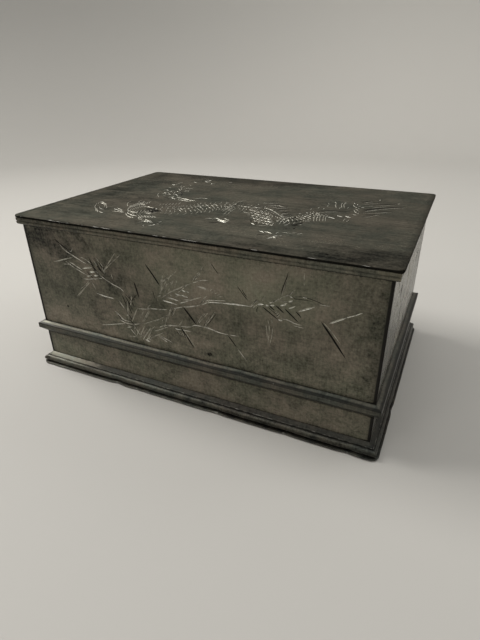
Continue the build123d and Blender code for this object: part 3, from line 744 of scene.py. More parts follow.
        (0.45, -52.8, -33.5, -54.9, -29.6, -56.1, -26.2), (0.45, -52.2, -31.9, -54.4, -28, -55.4, -24.8),
        (0.45, -51.7, -30.3, -53.8, -26.3, -54.8, -23.3), (0.45, -51.2, -28.7, -53.3, -24.7, -54.1, -21.8),
        (0.45, -50.7, -27.1, -52.8, -23, -53.4, -20.4), (0.45, -50.2, -25.4, -52.3, -21.4, -52.8, -18.9),
        (0.45, -49.6, -23.8, -51.7, -19.7, -52.1, -17.4), (0.45, -49.1, -22.1, -51.2, -18, -51.4, -15.9),
        (0.45, -48.6, -20.5, -50.7, -16.3, -50.7, -14.4), (0.45, -46, -40.9, -47.9, -36.3),
        (0.45, -44.4, -40.6, -46.3, -36), (0.45, -42.9, -40.3, -44.7, -35.7),
        (0.45, -41.3, -40, -43.1, -35.4), (0.45, -39.8, -39.7, -41.5, -35.1),
        (0.45, -38.2, -39.4, -40, -34.8), (0.45, -36.7, -39.1, -38.4, -34.5),
        (0.45, -35.2, -38.8, -36.8, -34.2), (0.45, -41.7, -44.8, -42.4, -42.4),
        (0.45, -39.8, -44.7, -40.4, -42.3), (0.45, -37.9, -44.6, -38.5, -42.1),
        (0.45, -36, -44.4, -36.6, -42), (0.45, -34.1, -44.3, -34.7, -41.9),
        (0.45, -32.2, -44.2, -32.8, -41.8), (0.45, -40.5, -21.6, -41.6, -17.6),
        (0.45, -39, -20.4, -40.1, -16.5), (0.45, -37.5, -19.3, -38.6, -15.3),
        (0.45, -36, -18.2, -37.1, -14.1), (0.45, -34.5, -17, -35.5, -13), (0.45, -33, -15.9, -34, -11.8),
        (0.45, -31.5, -14.7, -32.5, -10.7),
    ),
    "bright": (
        (0.24, -71.9, -37.1, -68.2, -40.5, -65.7, -41.4, -65.9, -39.6),
        (0.24, -51.3, -40.7, -56.5, -39.2, -61.1, -37.6), (0.26, -52.8, -32.8, -54.5, -29.3, -56.2, -26.1),
        (0.26, -52.5, -30, -54.3, -26.4, -56, -23.1), (0.26, -52.2, -27.2, -54, -23.5, -55.7, -20.2),
        (0.26, -51.9, -24.3, -53.7, -20.6, -55.4, -17.1),
        (0.28, -54, -32.6, -52.3, -35.6, -49.9, -38.3, -48.2, -41.2),
        (0.39, -44.4, -44, -42.5, -45.3, -42.2, -44.5), (0.42, -54.8, -23.7, -55.2, -21.8, -55.3, -19.8),
        (0.32, -46.6, -28.2, -47.3, -26.1, -46.2, -26.4), (0.32, -45.2, -26, -43.6, -26.9),
        (0.35, -40.4, -27.9, -38.2, -28.5, -36.8, -28.2), (0.22, -29.8, -51.1, -26.2, -52, -22.7, -53.2),
        (0.52, -24.4, -59.8, -24, -59.1), (0.42, -20.7, -56.2, -19.9, -55),
        (0.32, -20.4, -51.6, -20.4, -50, -19.5, -49.3), (0.56, -49.8, 50.4, -46.7, 49.3, -45.5, 52.1),
        (0.45, -42.1, 45.4, -40.2, 44.5, -40.2, 47.3), (0.45, -31.7, 53, -30.9, 53.9, -30.1, 55.1),
        (0.42, -65.6, 31.6, -63.2, 31.7), (0.32, -55.9, 14.2, -53.2, 12.3),
        (0.32, -48.1, 8.2, -44.7, 5.1, -42.5, 2.5), (0.39, -45.2, -1.3, -42.5, -2.9, -40.2, -3.9),
        (0.24, -48.2, 24.9, -46.2, 25), (0.24, -11.6, -9.1, -11.1, -7.3, -11.1, -4.9),
        (0.28, -6.1, -4.9, -5.7, -1.9, -5.5, 1.2), (0.28, 11.3, -4.3, 13.7, -4.4, 15.2, -4.6),
        (0.28, 33.1, -14.8, 35, -17, 37.5, -20.3), (0.52, 12.4, 2.4, 12.8, 3.7),
        (0.32, 27, -7.8, 27.4, -6.4), (0.45, 3.5, -17.1, 3.8, -15.5),
        (0.22, 21.1, -12.6, 22.9, -14.3, 23.4, -13.4), (0.22, 15.3, -14.5, 17.2, -16.2, 17.7, -15.2),
        (0.22, 23.8, -21.5, 25.5, -23.1, 26, -22.2), (0.22, 31.6, -28, 33.3, -29.5, 33.8, -28.7),
        (0.22, 26.3, -29.8, 28, -31.3, 28.5, -30.5), (0.39, 20.6, -9.6, 21.3, -12.9),
        (0.42, 27.4, -22.1, 29.4, -23.7, 30.3, -22.8), (0.45, 30.2, -27.3, 32.3, -28.2, 32.7, -27),
        (0.39, 25.1, -21.8, 26.8, -23.3), (0.35, 20.8, -17.4, 22.5, -18.4),
        (0.42, 24.3, -33.7, 26, -35.1, 27.5, -36.3), (0.45, 37.5, -27.6, 37.5, -24.2, 37, -19.1),
        (0.45, 39.6, -28.8, 39.9, -25, 39.6, -21.8), (0.42, 41.6, -30.7, 42.7, -29.5),
        (0.28, 37.7, -20.2, 37.8, -17.8), (0.52, 2.3, -33.9, 3.7, -32.8, 7.6, -35.5, 12.7, -38.3),
        (0.45, 5.7, -36, 8.9, -37.1, 12.2, -39.1), (0.39, 33.2, -44.9, 35.4, -45.3, 36.7, -46.8),
        (0.28, 42.2, -45.7, 42.7, -44.2, 43.3, -42.5), (0.49, 41.5, -54.6, 42.7, -51.9, 44, -49.5),
        (0.49, 43.1, -53, 43.3, -49.8, 44.7, -48.2), (0.32, 45, -49.1, 46.3, -47),
        (0.32, 48.3, -27.2, 48.8, -26.2), (0.28, 44.1, -25.2, 45.1, -25.9), (0.28, 43.9, -3.8, 44.9, -2.7),
        (0.28, 45.7, -11.2, 46.4, -9.5), (0.39, 55.8, -7.7, 57, -7.7),
        (0.42, 57.2, -7.5, 59.5, -8.4, 61.9, -9.3), (0.42, 60.9, -3.1, 62.9, -4.4, 64.5, -4.8),
        (0.42, 65.2, -2.4, 66.9, -3.7, 68.8, -4.7), (0.35, 68, 2.1, 70, 1.5), (0.35, 63.1, 27.9, 64.5, 25),
        (0.39, 65.4, 25.4, 66.5, 23.6), (0.42, 67.2, 19.9, 68.3, 21.2), (0.35, 69.1, 18.6, 70.9, 19.4),
        (0.28, 68.3, 14.7, 68.6, 16.8), (0.28, 69.7, 8.5, 70.5, 9.4), (0.32, 70, 4.4, 70.6, 5.7),
        (0.35, 47.1, 7.9, 47.3, 10.8), (0.35, 50.4, 6.7, 50.6, 9.6), (0.35, 50.7, 13.9, 50.9, 16.9),
        (0.35, 58.2, 12.1, 58.4, 15.1), (0.35, 62.3, 14.2, 62.6, 17.2), (0.35, 58.4, 23.8, 58.6, 26.9),
        (0.35, 44.2, 2.7, 44.3, 5.6), (0.35, 44.2, -4.9, 44.3, -2.2),
    ),
    # Painted shade: black strokes beside the lit ones, for groove walls that lie in shade
    "dark": (
        (0.6, -42.9, -42, -44.6, -37.7), (0.6, -42.2, -39.6, -43.9, -35.3),
        (0.6, -41.5, -37.2, -43.2, -32.8), (0.6, -44.3, -43.3, -43.4, -43.3),
        (1.44, -44.8, -30.1, -41.3, -29.7, -38.4, -27.8, -37.3, -26.2),
        (1.44, -42.9, -32.3, -39.6, -31.7, -37, -29.4, -35.9, -28.6),
        (1.44, -40.9, -34.4, -37.8, -33.5, -35.4, -31, -34.2, -30.9),
        (1.44, -39.1, -35.4, -36.3, -34.3, -34, -31.5, -32.8, -32.1),
        (1.44, -37.5, -36.2, -34.9, -34.8, -32.8, -31.7, -31.5, -33), (0.48, -30.6, -58, -28.7, -56.6),
        (0.48, -34.2, -54.6, -31.5, -54.2), (0.6, -53, 51, -50, 49.2), (0.54, -47.1, 44, -42.6, 43.5),
        (0.6, -48.9, 15.1, -43.9, 9.9, -41.5, 3.9), (0.54, -50.5, -1.4, -46.4, -3.8, -42.5, -6.4),
        (0.48, -40.6, 20.4, -37, 23.3), (0.48, -18.5, 23.8, -16.6, 28.3),
        (0.6, 10.2, -17.5, 11.5, -15.2, 14.5, -15.7), (0.48, 2.2, -9.9, 0.8, -1.8, 1.4, 1),
        (0.6, 21, -28, 22.9, -30.3, 23.7, -33.1), (0.72, 24, -29.9, 25.9, -31.4, 27.4, -33.8),
        (0.54, 28.1, -35.4, 32.3, -34.3, 35.7, -32.5), (0.96, 2.7, -40.7, 6, -40.8, 8.9, -39.6),
        (0.84, 34.7, -51.5, 36.4, -49.9, 38.5, -48.7), (0.48, 48.5, -45, 51.2, -45.1),
        (0.96, 16.6, 5.7, 22.4, 7.1, 30.4, 5.2), (0.96, 12, 9.8, 17.1, 10.7, 22.1, 14),
        (0.96, 23.6, 1.6, 27.1, 2.2, 30.7, 4.5), (0.96, 27.4, -3.5, 30.4, -2.9, 33.1, -0.8),
        (0.96, 31, -9.2, 33.3, -8.2, 35.2, -6), (0.96, 33.4, -13.3, 35.9, -12.9, 38.1, -10),
        (0.96, 18.2, 2, 21.6, 3, 24.5, 2.7), (0.96, 35.9, -15.3, 38, -15.2, 39.5, -12.1),
        (1.08, 39.3, -18.7, 40.6, -18.8, 41.2, -16.6), (1.56, 40.3, -16.7, 41.6, -16.8, 42.2, -14.6),
        (1.08, 41.2, -22.7, 42.4, -22.7, 43, -20.6), (1.56, 43, -21.9, 44.3, -22, 44.9, -19.9),
        (1.08, 43.4, -27.8, 44.7, -27.8, 45.3, -25.8), (1.56, 45.2, -27, 46.4, -27.1, 47, -25),
        (1.08, 44.3, -19.8, 45.6, -19.9, 46.2, -17.7), (1.56, 46.5, -25, 47.8, -25, 48.4, -23),
        (1.44, 44.5, -29.5, 46.5, -29.7, 47.8, -27.4), (0.96, 43.1, -35.2, 45.1, -35.7),
        (0.72, 47.6, -36, 48.1, -33), (0.96, 48.6, -0, 53.5, 4.7, 60, 6.8, 66.2, 7.7),
        (0.48, 48.9, -20.9, 51.8, -18.7), (0.96, 66.7, 30.3, 69.8, 34.6, 73.5, 38.4),
        (1.08, 68.9, 24.3, 77.2, 28.6, 87.3, 34.9), (1.32, 70.5, 12.9, 80.7, 21.9, 93.2, 30.7),
        (0.84, 72.3, 8.7, 80.1, 12.7, 87.7, 17), (0.72, 74.2, 4, 78.2, 6, 82, 9),
        (0.54, 67.2, 28.3, 72.3, 31.7, 77.4, 35.1), (0.72, 71.3, 10.5, 75.4, 15.7, 79.4, 18.9),
        (0.48, 73.9, 1.1, 77.5, 3.2, 79.3, 5), (0.48, 74.1, 22.7, 78.2, 25.7, 82.3, 28.6),
    ),
}

# The same for the bamboo, on the front seen from outside, with y as the height
bambooCuts = {
    "worn": (
        (0.53, -77, 83.1, -73.7, 79.8, -68.8, 77.6, -63.5, 75.3, -57.9, 73.2),
        (0.43, -55, 71.6, -49.8, 67.8, -46.2, 66, -42.2, 64.3, -37.7, 63.1),
        (0.34, -74.9, 73.3, -70.4, 70.9, -65.1, 68.7, -60.1, 66.7),
        (0.4, -51.7, 66.4, -57.6, 65.3, -64.4, 64.1), (0.4, -47.3, 70.2, -49.3, 74.2, -52.2, 79.5),
        (0.57, -46.9, 70.6, -47.8, 73.8, -49.6, 75.8), (0.4, -49.9, 71.4, -52.4, 74.4, -53.9, 76.8),
        (0.34, -55.7, 73.9, -59.2, 76.3, -63.5, 77.3), (0.57, -58.7, 63.9, -62.9, 59.6, -71.5, 51.9),
        (0.34, -59.5, 64.1, -63.1, 60.6, -67.8, 57), (0.29, -58.3, 63.9, -55.6, 59.2),
        (0.34, -43.6, 75.4, -40, 78.5, -34.8, 82.8), (0.29, -43, 70.6, -42.5, 67.6),
        (0.34, -71.7, 80.8, -69.1, 79.5, -67.7, 81.9), (0.46, -44.8, 64.9, -38.6, 63.2, -35.9, 61.2),
        (0.4, -27.7, 54, -30, 49.6, -32.1, 45.6), (0.63, -27.8, 52.9, -23.5, 53.6, -19.3, 54.5),
        (0.46, -15.1, 55.1, -8.6, 56.1), (0.52, -25.5, 45, -23, 48.4, -20.4, 52.4),
        (0.52, -37.8, 41.4, -32, 42.3, -29.2, 43.2, -25.7, 44.2), (0.52, -42, 43.1, -38.6, 42, -34.2, 41.9),
        (0.34, -36.6, 41, -34.5, 39.8, -32, 42), (0.63, -29.2, 34.2, -27.4, 38.2, -24.8, 43),
        (0.4, -30.9, 34.9, -29.9, 38.8, -30, 41.2), (0.34, -32.1, 35.8, -32.2, 39.5, -31.8, 42.1),
        (0.57, -23.8, 35.5, -21.4, 34.5), (0.52, -22.1, 35.3, -18.9, 37.7, -16.2, 39.2, -12.6, 41.4),
        (0.34, -16.2, 39.1, -12.5, 38, -9, 36.9, -6.6, 35.8), (0.4, -36.9, 33.5, -33.2, 34, -30.4, 35),
        (0.57, -18.5, 41, -14.5, 42.9, -11.4, 44.6, -7.2, 46.5),
        (0.52, -11.8, 44.5, -10.2, 48.8, -8.9, 52.5), (0.34, -12.8, 47.1, -12.3, 49.5),
        (0.4, -25.7, 43.8, -20.3, 46.4, -13.3, 50, -8.3, 53.2), (0.46, -18.2, 46.8, -15, 48.8, -11.5, 51.2),
        (0.63, -7.5, 55.4, -5.4, 58.3), (0.57, -7.2, 53.6, -6, 56.1, -5.1, 57.8),
        (0.34, 0.4, 46.5, 3.5, 42, 7.4, 36.5), (0.29, -3.5, 44.9, -1.5, 42.2),
        (0.29, -2.1, 44.7, -0.3, 41.9), (0.29, -0.6, 44.5, 0.8, 41.7), (0.29, 0.9, 44.3, 2, 41.4),
        (0.46, -0.9, 45.8, 2.3, 46, 5.4, 46.1), (0.57, -1.9, 48.2, 0.4, 51.9), (0.46, 10, 52.3, 12.8, 55.6),
        (0.46, 13.5, 51.4, 14.9, 54.3, 16.6, 57.5), (0.63, -11.8, 62.1, -6.6, 66.3, 0.9, 70.6, 7.7, 74),
        (0.46, 7.7, 74, 12.5, 76.4, 16.8, 77), (0.46, -9, 72.3, -4.8, 75.7, -0.6, 79.4),
        (0.4, -11.2, 67.6, -7, 70.7, -2.7, 74), (0.46, -12, 63.9, -11, 68.1, -10.3, 72.1, -9.9, 75.6),
        (0.34, -10.6, 73.2, -11.3, 70.4, -11.4, 67.2), (0.4, -2.9, 69.5, -2, 72, -1.2, 74.1),
        (0.4, -9.4, 65.4, -8.3, 68.5, -7.3, 71.2), (0.34, -6.9, 67, -6.2, 68.7, -5.6, 70),
        (0.52, -14.1, 62.9, -11.6, 63.7), (0.34, -14.2, 59.8, -14.4, 62.2), (0.4, 3.2, 69.1, 5.6, 68.4),
        (0.34, -6.1, 65, -4.6, 64.8), (0.4, -3, 64.8, 0.1, 66.2), (0.34, 1.1, 63.6, 5.4, 64.8, 7.1, 65.7),
        (0.57, 5.3, 64.1, 8.7, 65.8, 12.6, 67.4), (0.4, 7.7, 74.8, 9.9, 78.1, 12.1, 81),
        (0.46, 9.4, 76, 11.1, 78.1, 12.9, 80.3), (0.34, 10, 72.9, 13.1, 72.8, 17, 72.3),
        (0.29, 10.7, 72.5, 13.9, 72.3, 17, 71.6), (0.25, 17.3, 71.7, 19.3, 73.1),
        (0.25, 18.6, 71.1, 20.6, 72.4), (0.25, 19.9, 70.5, 21.9, 71.7), (0.25, 21.2, 69.9, 23.2, 70.9),
        (0.25, 22.5, 69.3, 24.4, 70.2), (0.69, 1.2, 59.7, 6.7, 61.2, 11.1, 62.5),
        (0.69, 10.9, 62.4, 12.4, 64.4, 14, 67.1, 15.8, 68.7),
        (0.46, 12.3, 63.1, 12.8, 64.7, 14.5, 66.1, 15.1, 65.2, 14, 64),
        (0.46, 14.7, 66, 16.1, 66.1, 16.6, 65.3), (0.34, 15.9, 66.4, 20.6, 67.1, 26.8, 68.1),
        (0.8, 38.5, 67.4, 39.7, 68.1, 40.8, 69.6, 42.1, 70.8), (0.57, 40.3, 66.9, 41.4, 68.3, 42.7, 69.3),
        (0.4, 42, 69.9, 42.3, 71.1, 43.1, 70.9, 42.7, 69.9), (0.57, 45.1, 71.5, 45.9, 73.1, 46.5, 74.5),
        (0.69, 48.4, 71.2, 50.7, 72.4, 54.9, 75.4), (0.57, 54.9, 75.4, 58, 77.2, 60.8, 80.1),
        (0.57, 54.6, 75.9, 55.8, 80.1, 56.8, 84.5), (0.46, 53.5, 73.7, 55.3, 73.3, 57.1, 73.4),
        (0.29, 64.1, 77.1, 66.5, 77), (0.29, 64.4, 89.1, 64.7, 82), (0.34, 51.6, 66.7, 52.6, 67.7),
        (0.34, 52, 65.7, 53.4, 67.1), (0.34, 52.5, 64.6, 53.9, 66.3),
        (0.4, 54.5, 64.3, 58.1, 64.3, 61, 63.4, 65.2, 62.8), (0.29, 60.4, 62.1, 63.5, 61.9, 66, 61.8),
        (0.29, 71.9, 74.9, 76.8, 75.2), (0.34, 74.5, 66.6, 78.7, 62.6, 83, 57.4),
        (0.4, 48, 62.5, 48.9, 58, 48.7, 53.9, 48.2, 48.9), (0.34, 49.8, 64.1, 50.3, 60.3),
        (0.34, 50.5, 58.7, 50.1, 53.3, 48.8, 47.6), (0.29, 47, 60.5, 48.1, 51.5),
        (0.52, 7.7, 50.6, 14.8, 50.6, 21.8, 49.4, 27.2, 49.3), (0.4, 27.2, 49.3, 32, 49.7),
        (0.52, 31.5, 42.9, 34.2, 39.6, 37.2, 36), (0.46, 8.8, 51.1, 11.2, 55.4, 13.5, 58.7),
        (0.46, 13.3, 50.6, 16.5, 55.2, 19.4, 59.6), (0.4, 9.4, 76.1, 12.1, 80, 14.3, 84.1),
        (0.29, 18, 86.5, 19.9, 83.7), (0.57, -14.7, 44.4, -10.9, 46.1, -7.2, 47.1, -1.5, 47.8),
        (0.57, -1.5, 47.8, 1.6, 48.3, 4.1, 48.6, 6.8, 50.1), (0.46, 7.6, 50.5, 12.6, 50.8, 16.7, 51),
        (0.46, 20, 60.7, 17, 56.1, 13.5, 50.9), (0.4, 15.9, 59.5, 13.4, 56.2, 9.8, 51.8),
        (0.34, 14.3, 58.8, 12.1, 55.9), (0.46, -8.3, 52.8, -7.1, 54.9, -6.3, 56.9),
        (0.34, -7, 53.9, -5.5, 56.9), (0.46, -2.4, 47.8, -1.3, 49.5, -0.1, 51.2),
        (0.34, -43.9, 47.3, -39.9, 44, -34, 43.2), (0.51, -28.6, 52.6, -33.6, 42.9),
        (0.51, -20.8, 52.9, -26.1, 45), (0.51, -23.5, 53.4, -27.7, 46), (0.51, -35.7, 39.4, -30.3, 33.7),
        (0.51, -32.4, 41.5, -28.3, 35.3), (0.51, -17.7, 44.2, -27.4, 35.5), (0.51, -19.6, 42.4, -24.7, 33.8),
        (0.51, -23.4, 41.9, -29.1, 33.7), (0.51, -28.1, 40.8, -31.7, 34.5), (0.51, -15.7, 38.3, -10.4, 35.7),
        (0.51, -44.6, 48.3, -37, 42.3), (0.51, -40.4, 55.5, -36.4, 49.7), (0.51, -6.2, 76.5, -10.4, 70.9),
        (0.51, -7.5, 73.1, -11.2, 66), (0.51, -2.6, 74.6, -7.2, 66.5), (0.51, -4.7, 76.3, -8.1, 70.1),
        (0.51, -8.7, 70.6, -12.7, 64.5), (0.51, -9.4, 75.7, -11.6, 64.7), (0.51, 4.7, 72.4, -2.1, 66.5),
        (0.51, -38.5, 82.9, -47.1, 72.6), (0.51, -42.5, 76.4, -47.6, 71.9), (0.51, -71.5, 73.2, -63.1, 69.5),
        (0.51, -76.8, 71.1, -70.2, 72.1), (0.51, -59, 63.7, -70.2, 52.2), (0.51, -18.9, 57.4, -22.1, 53.7),
        (0.51, -31.1, 59.8, -32.9, 53), (0.51, -34.4, 56.6, -35.6, 44.5), (0.51, -5.4, 58.6, -8.9, 50.3),
        (0.51, -2.8, 59.1, -5.7, 52.9),
    ),
    # Painted shade: black strokes beside the lit ones, for groove walls that lie in shade
    "dark": (
        (0.6, -80.2, 85.6, -76.9, 83.4, -71.8, 80.6, -68.2, 78.3), (0.35, -72.4, 73, -68, 70.2, -63.5, 68.2),
        (0.5, -51.2, 68.5, -54.8, 72.7, -57.2, 78.1), (0.45, -48.3, 69.4, -50.7, 73.3, -53.4, 79.1),
        (0.35, -53, 71.6, -55.5, 75.2, -56.9, 77.6), (0.45, -49.2, 70.5, -51.8, 73.8, -52.9, 75.9),
        (0.35, -36, 60.8, -33.4, 58.6, -31.1, 56.8), (0.3, -34.4, 53.6, -30.8, 57.2),
        (0.3, -33, 55.2, -29.9, 58.3), (0.3, -31.6, 56.8, -29, 59.4), (0.3, -30.3, 58.3, -28.1, 60.5),
        (0.3, -29, 59.9, -27.1, 61.5), (0.3, -33.3, 58.9, -31.2, 56.4), (0.3, -32, 59.5, -30.1, 57),
        (0.3, -30.8, 60, -29.1, 57.7), (0.3, -29.5, 60.6, -28.1, 58.3),
        (0.5, -26.1, 59.3, -27.2, 63.2, -28.6, 68.8), (0.5, -32.4, 48.1, -33.3, 50.9, -34.1, 53.9),
        (0.3, -41.1, 53.7, -39.4, 51.8), (0.5, -40, 43.3, -42.1, 45.5, -43.9, 47.9),
        (0.35, -6.4, 54.2, -5.2, 56.6), (0.85, 1.4, 59.5, 4.6, 55.7, 8.4, 51),
        (0.8, -1.2, 47.1, 2, 42.6, 6.6, 35.9), (0.3, -4.2, 44.5, -2, 41.7), (0.3, -2.7, 44.3, -0.9, 41.4),
        (0.3, -1.2, 44.1, 0.3, 41.1), (0.3, 0.3, 43.9, 1.5, 40.9),
        (0.85, -11.9, 69.2, -15.9, 74.9, -20, 80.2), (0.4, -15.9, 60.7, -16.3, 63.1, -16.7, 65.4),
        (0.3, 8.4, 75.5, 10.3, 78.4), (0.35, 22.7, 81.1, 20.6, 83.5, 18.5, 86.3),
        (0.35, 39.7, 68.5, 41.2, 70.3, 42.5, 72.1), (0.4, 42.5, 64.8, 42.3, 66.7, 43.1, 68.4),
        (0.4, 54, 76.5, 55.2, 81, 56.5, 84.8, 57.2, 88), (0.3, 59, 76.4, 61.1, 75.7, 64.5, 75.9, 69.6, 75.9),
        (0.3, 61.7, 77.2, 66.5, 77.1, 71.2, 76.2, 74.6, 75.1), (0.6, 48.6, 69.9, 49.9, 68.8, 51.4, 68),
        (0.65, 51.8, 70.6, 54, 68.9, 56.1, 67.3), (0.65, 56.1, 69.9, 59.4, 67.2, 63.3, 63.9),
        (0.55, 61.4, 69.5, 62.9, 68.3, 64.2, 66.7), (0.6, 44.9, 68.8, 49.4, 65.9, 53.3, 63.3),
        (0.3, 47.1, 69.6, 50.8, 67, 53.8, 64.9), (0.4, 34.5, 75.9, 35.9, 73.5, 37.4, 71.9),
        (0.3, 32.2, 77, 34.1, 74.3), (0.9, 73.4, 66.9, 77.6, 61.7, 82, 55.9, 86.1, 50.5),
        (0.6, 26.5, 49, 29.2, 45.9, 31.5, 42.9), (0.3, 12.7, 50.9, 15.8, 55.4),
        (0.4, 33, 76.1, 35.5, 72.8, 38, 70.2), (0.85, 1.2, 59.7, 4.7, 55.9, 8.5, 51.1),
        (0.3, 20.7, 60.1, 17.8, 55.9, 14.3, 50.9), (0.55, -56.5, 75.5, -53, 68.8),
        (0.55, -53.7, 76.9, -49.5, 69.8), (0.55, -51, 77, -46.4, 69.4), (0.55, -48.6, 75.9, -47.1, 71.5),
        (0.55, -60.6, 69.9, -54.8, 64.2), (0.55, -37.9, 59.8, -35.3, 52.6), (0.55, -35.7, 59.5, -31.6, 50.7),
        (0.55, -33.5, 60.6, -29.9, 52.6), (0.55, -36.2, 49.7, -32.1, 43.7), (0.55, -28.3, 69, -26.1, 60.7),
        (0.55, -55.3, 73.2, -51.2, 68.6), (0.55, -34.8, 44.7, -31.5, 41.4),
    ),
    "bright": (
        (0.45, -84, 71.4, -76.5, 73.8, -68.5, 76.3), (0.84, -62.9, 70.8, -59, 71.7, -55.9, 72.3),
        (0.92, -58.3, 69.4, -54.4, 69.9), (0.67, -60.6, 66.4, -56.7, 67.5), (0.92, -55.5, 67.6, -52.1, 68.3),
        (0.39, -49.8, 66.9, -55, 65.9, -62.8, 63.8), (0.5, -43.7, 55.8, -47.2, 56, -51.2, 56.3, -56.2, 56.9),
        (0.5, -19.3, 54.6, -16.8, 55, -14.3, 55.2), (0.42, -55.6, 36.8, -49.7, 38.2, -44, 39.8, -37.8, 41.4),
        (0.76, -33.8, 40.3, -37.3, 39.1), (0.5, -27.2, 33.3, -24.4, 37.6, -20.5, 43),
        (0.76, -25.5, 34.1, -22.2, 33.1), (0.5, -25.4, 33.3, -22.5, 36, -21.4, 37.5),
        (0.59, -14.8, 44.2, -11.7, 46.1), (0.5, -4.8, 45.8, -2.9, 45.6, -0.9, 45.8),
        (0.38, -10.2, 71.7, -8.3, 72.8), (0.71, -11.1, 61.2, -8.9, 61, -6.3, 60.8, -2.1, 60.2),
        (0.55, -8.2, 63.3, -5.6, 63.3, -3.5, 63, -1.3, 62.6), (0.59, -3.2, 66.7, -1.2, 66.1, 0.5, 66.1),
        (0.63, 0.5, 66.3, 3, 65.9, 4.8, 65.7), (0.59, 1.2, 69.1, 3.6, 68.6),
        (0.55, -0.3, 61.6, 2.3, 62.7, 5.3, 64.1), (0.46, -4.5, 57.7, -1.8, 58.6, 1.2, 59.7),
        (0.59, 12.3, 62.9, 14.2, 64.3, 16.2, 65.2, 19.8, 65.9, 24.5, 66.4),
        (0.8, 24.1, 66.3, 27.5, 66.8, 30.5, 67.1, 34.2, 67.3, 38.6, 67.5),
        (0.84, 42.7, 69.2, 44.2, 69.9, 45.7, 69.9), (0.76, 46.7, 69.8, 48.4, 69.9),
        (0.88, 48.9, 70.2, 51.2, 70.5), (0.8, 53.9, 71, 55.7, 71.8, 57.4, 73), (0.59, 57.8, 73.6, 60, 74.7),
        (0.63, 57.9, 70.3, 59.6, 71.1, 61.2, 72.1), (0.84, 62.7, 69.8, 65.8, 71.4, 70.2, 73.6),
        (0.59, 58.3, 76.5, 59.6, 76), (0.59, 53.1, 63.6, 55.3, 63.4),
        (0.76, 77.1, 66.8, 80.8, 69, 84.3, 71.1), (0.5, 84.3, 71.1, 87.3, 72.7, 90.9, 74.8),
        (0.42, 5.9, 49.4, 7.6, 50.5, 10.1, 50.5), (0.42, -36.4, 47.2, -34.6, 46.9),
    ),
}


# Lid plate: the engraved dragon, a worn and nicked edge, corners worn round and one bent down.
# The dragon's body: x, y and half its width. Nicks in the front edge: x, half length, strength.
lidLook = {
    "cutDepth": 0.42, "overcut": 0.25, "slice": 2.0, "rim": 0.4, "corner": 3.0, "wear": 0.32,
    "droop": 0.5, "droopReach": 2.5, "roughScale": 0.22, "fineScale": 0.9, "shineFrom": 0.45,
    "shineGain": 2.2, "nickDepth": 0.3, "topBand": 0.3, "topShare": 0.75, "sideShare": 0.45,
    "bodyPath": ((-38, -27, 7.0), (-30, -28, 10.0), (-22, -26, 11.0), (-15.5, -18, 11.5), (-9, -10, 11.0),
                 (-2, -5, 9.5), (6, -6, 7.0), (14, -9, 6.5), (23, -16, 9.0), (31, -22, 9.5),
                 (38, -24.5, 7.0), (44, -19, 5.5), (47.5, -11, 5.0), (51, -2, 5.0)),
    "nicks": ((-98.4, 1.2, 1.0), (-70.5, 6.5, 1.0), (-55.0, 1.6, 0.9), (-38.8, 3.4, 0.8), (-9.7, 1.6, 0.9),
              (9.5, 6.5, 0.85), (42.4, 2.0, 0.9), (67.8, 3.0, 0.9), (90.6, 1.6, 0.9), (30.0, 3.0, 0.5),
              (-25.0, 4.0, 0.45)),
}


def waver(place, scale, shift=(0, 0, 0)):  # smooth noise between 0 and 1 at a place in mm
    return 0.5 + 0.5 * noise.noise(place * scale + Vector(shift))


def roundCorner(place):  # how far, in mm, a corner worn round draws a point in
    beyond = Vector((max(0.0, abs(place.x) - lidX + lidLook["corner"]),
                     max(0.0, abs(place.y) - lidY + lidLook["corner"])))
    if min(beyond) <= 0:
        return Vector((0, 0, 0))
    excess = beyond * (1 - max(beyond) / beyond.length)
    return Vector((-math.copysign(excess.x, place.x), -math.copysign(excess.y, place.y), 0))


def wearLid(data):  # rubs, nicks and dents the edge
    rub = data.attributes.new("rub", "FLOAT", "POINT")
    edge = lidLook["rim"] - 0.05  # the cut along the rim stays where it is
    for vert in data.vertices:
        place = vert.co / mm
        vert.co += roundCorner(place) * mm
        gapX, gapY = lidX - abs(place.x), lidY - abs(place.y)
        if min(gapX, gapY) > edge:
            continue
        rough = waver(place, lidLook["roughScale"])
        fine = waver(place, lidLook["fineScale"], (9, 2, 5))
        amount = lidLook["wear"] * rough ** 2 * (0.6 + 0.4 * fine)
        shine = max(0.0, rough - lidLook["shineFrom"]) * lidLook["shineGain"] * (0.5 + fine)
        if place.y < edge - lidY:
            for middle, spread, strength in lidLook["nicks"]:
                near = math.exp(-((place.x - middle) / spread) ** 4)
                amount += near * strength * lidLook["nickDepth"]
                shine += near * strength
        inward = Vector((-math.copysign(1, place.x) if gapX < edge else 0,
                         -math.copysign(1, place.y) if gapY < edge else 0, 0))
        isTop = place.z > -lidLook["topBand"]
        vert.co += inward * amount * mm * (1.0 if isTop else lidLook["sideShare"])
        bent = (Vector((lidX, -lidY)) - place.xy).length / lidLook["droopReach"]
        vert.co.z -= lidLook["droop"] * math.exp(-bent ** 2) * mm
        if isTop:
            vert.co.z -= amount * lidLook["topShare"] * mm
            rub.data[vert.index].value = min(1.0, shine)


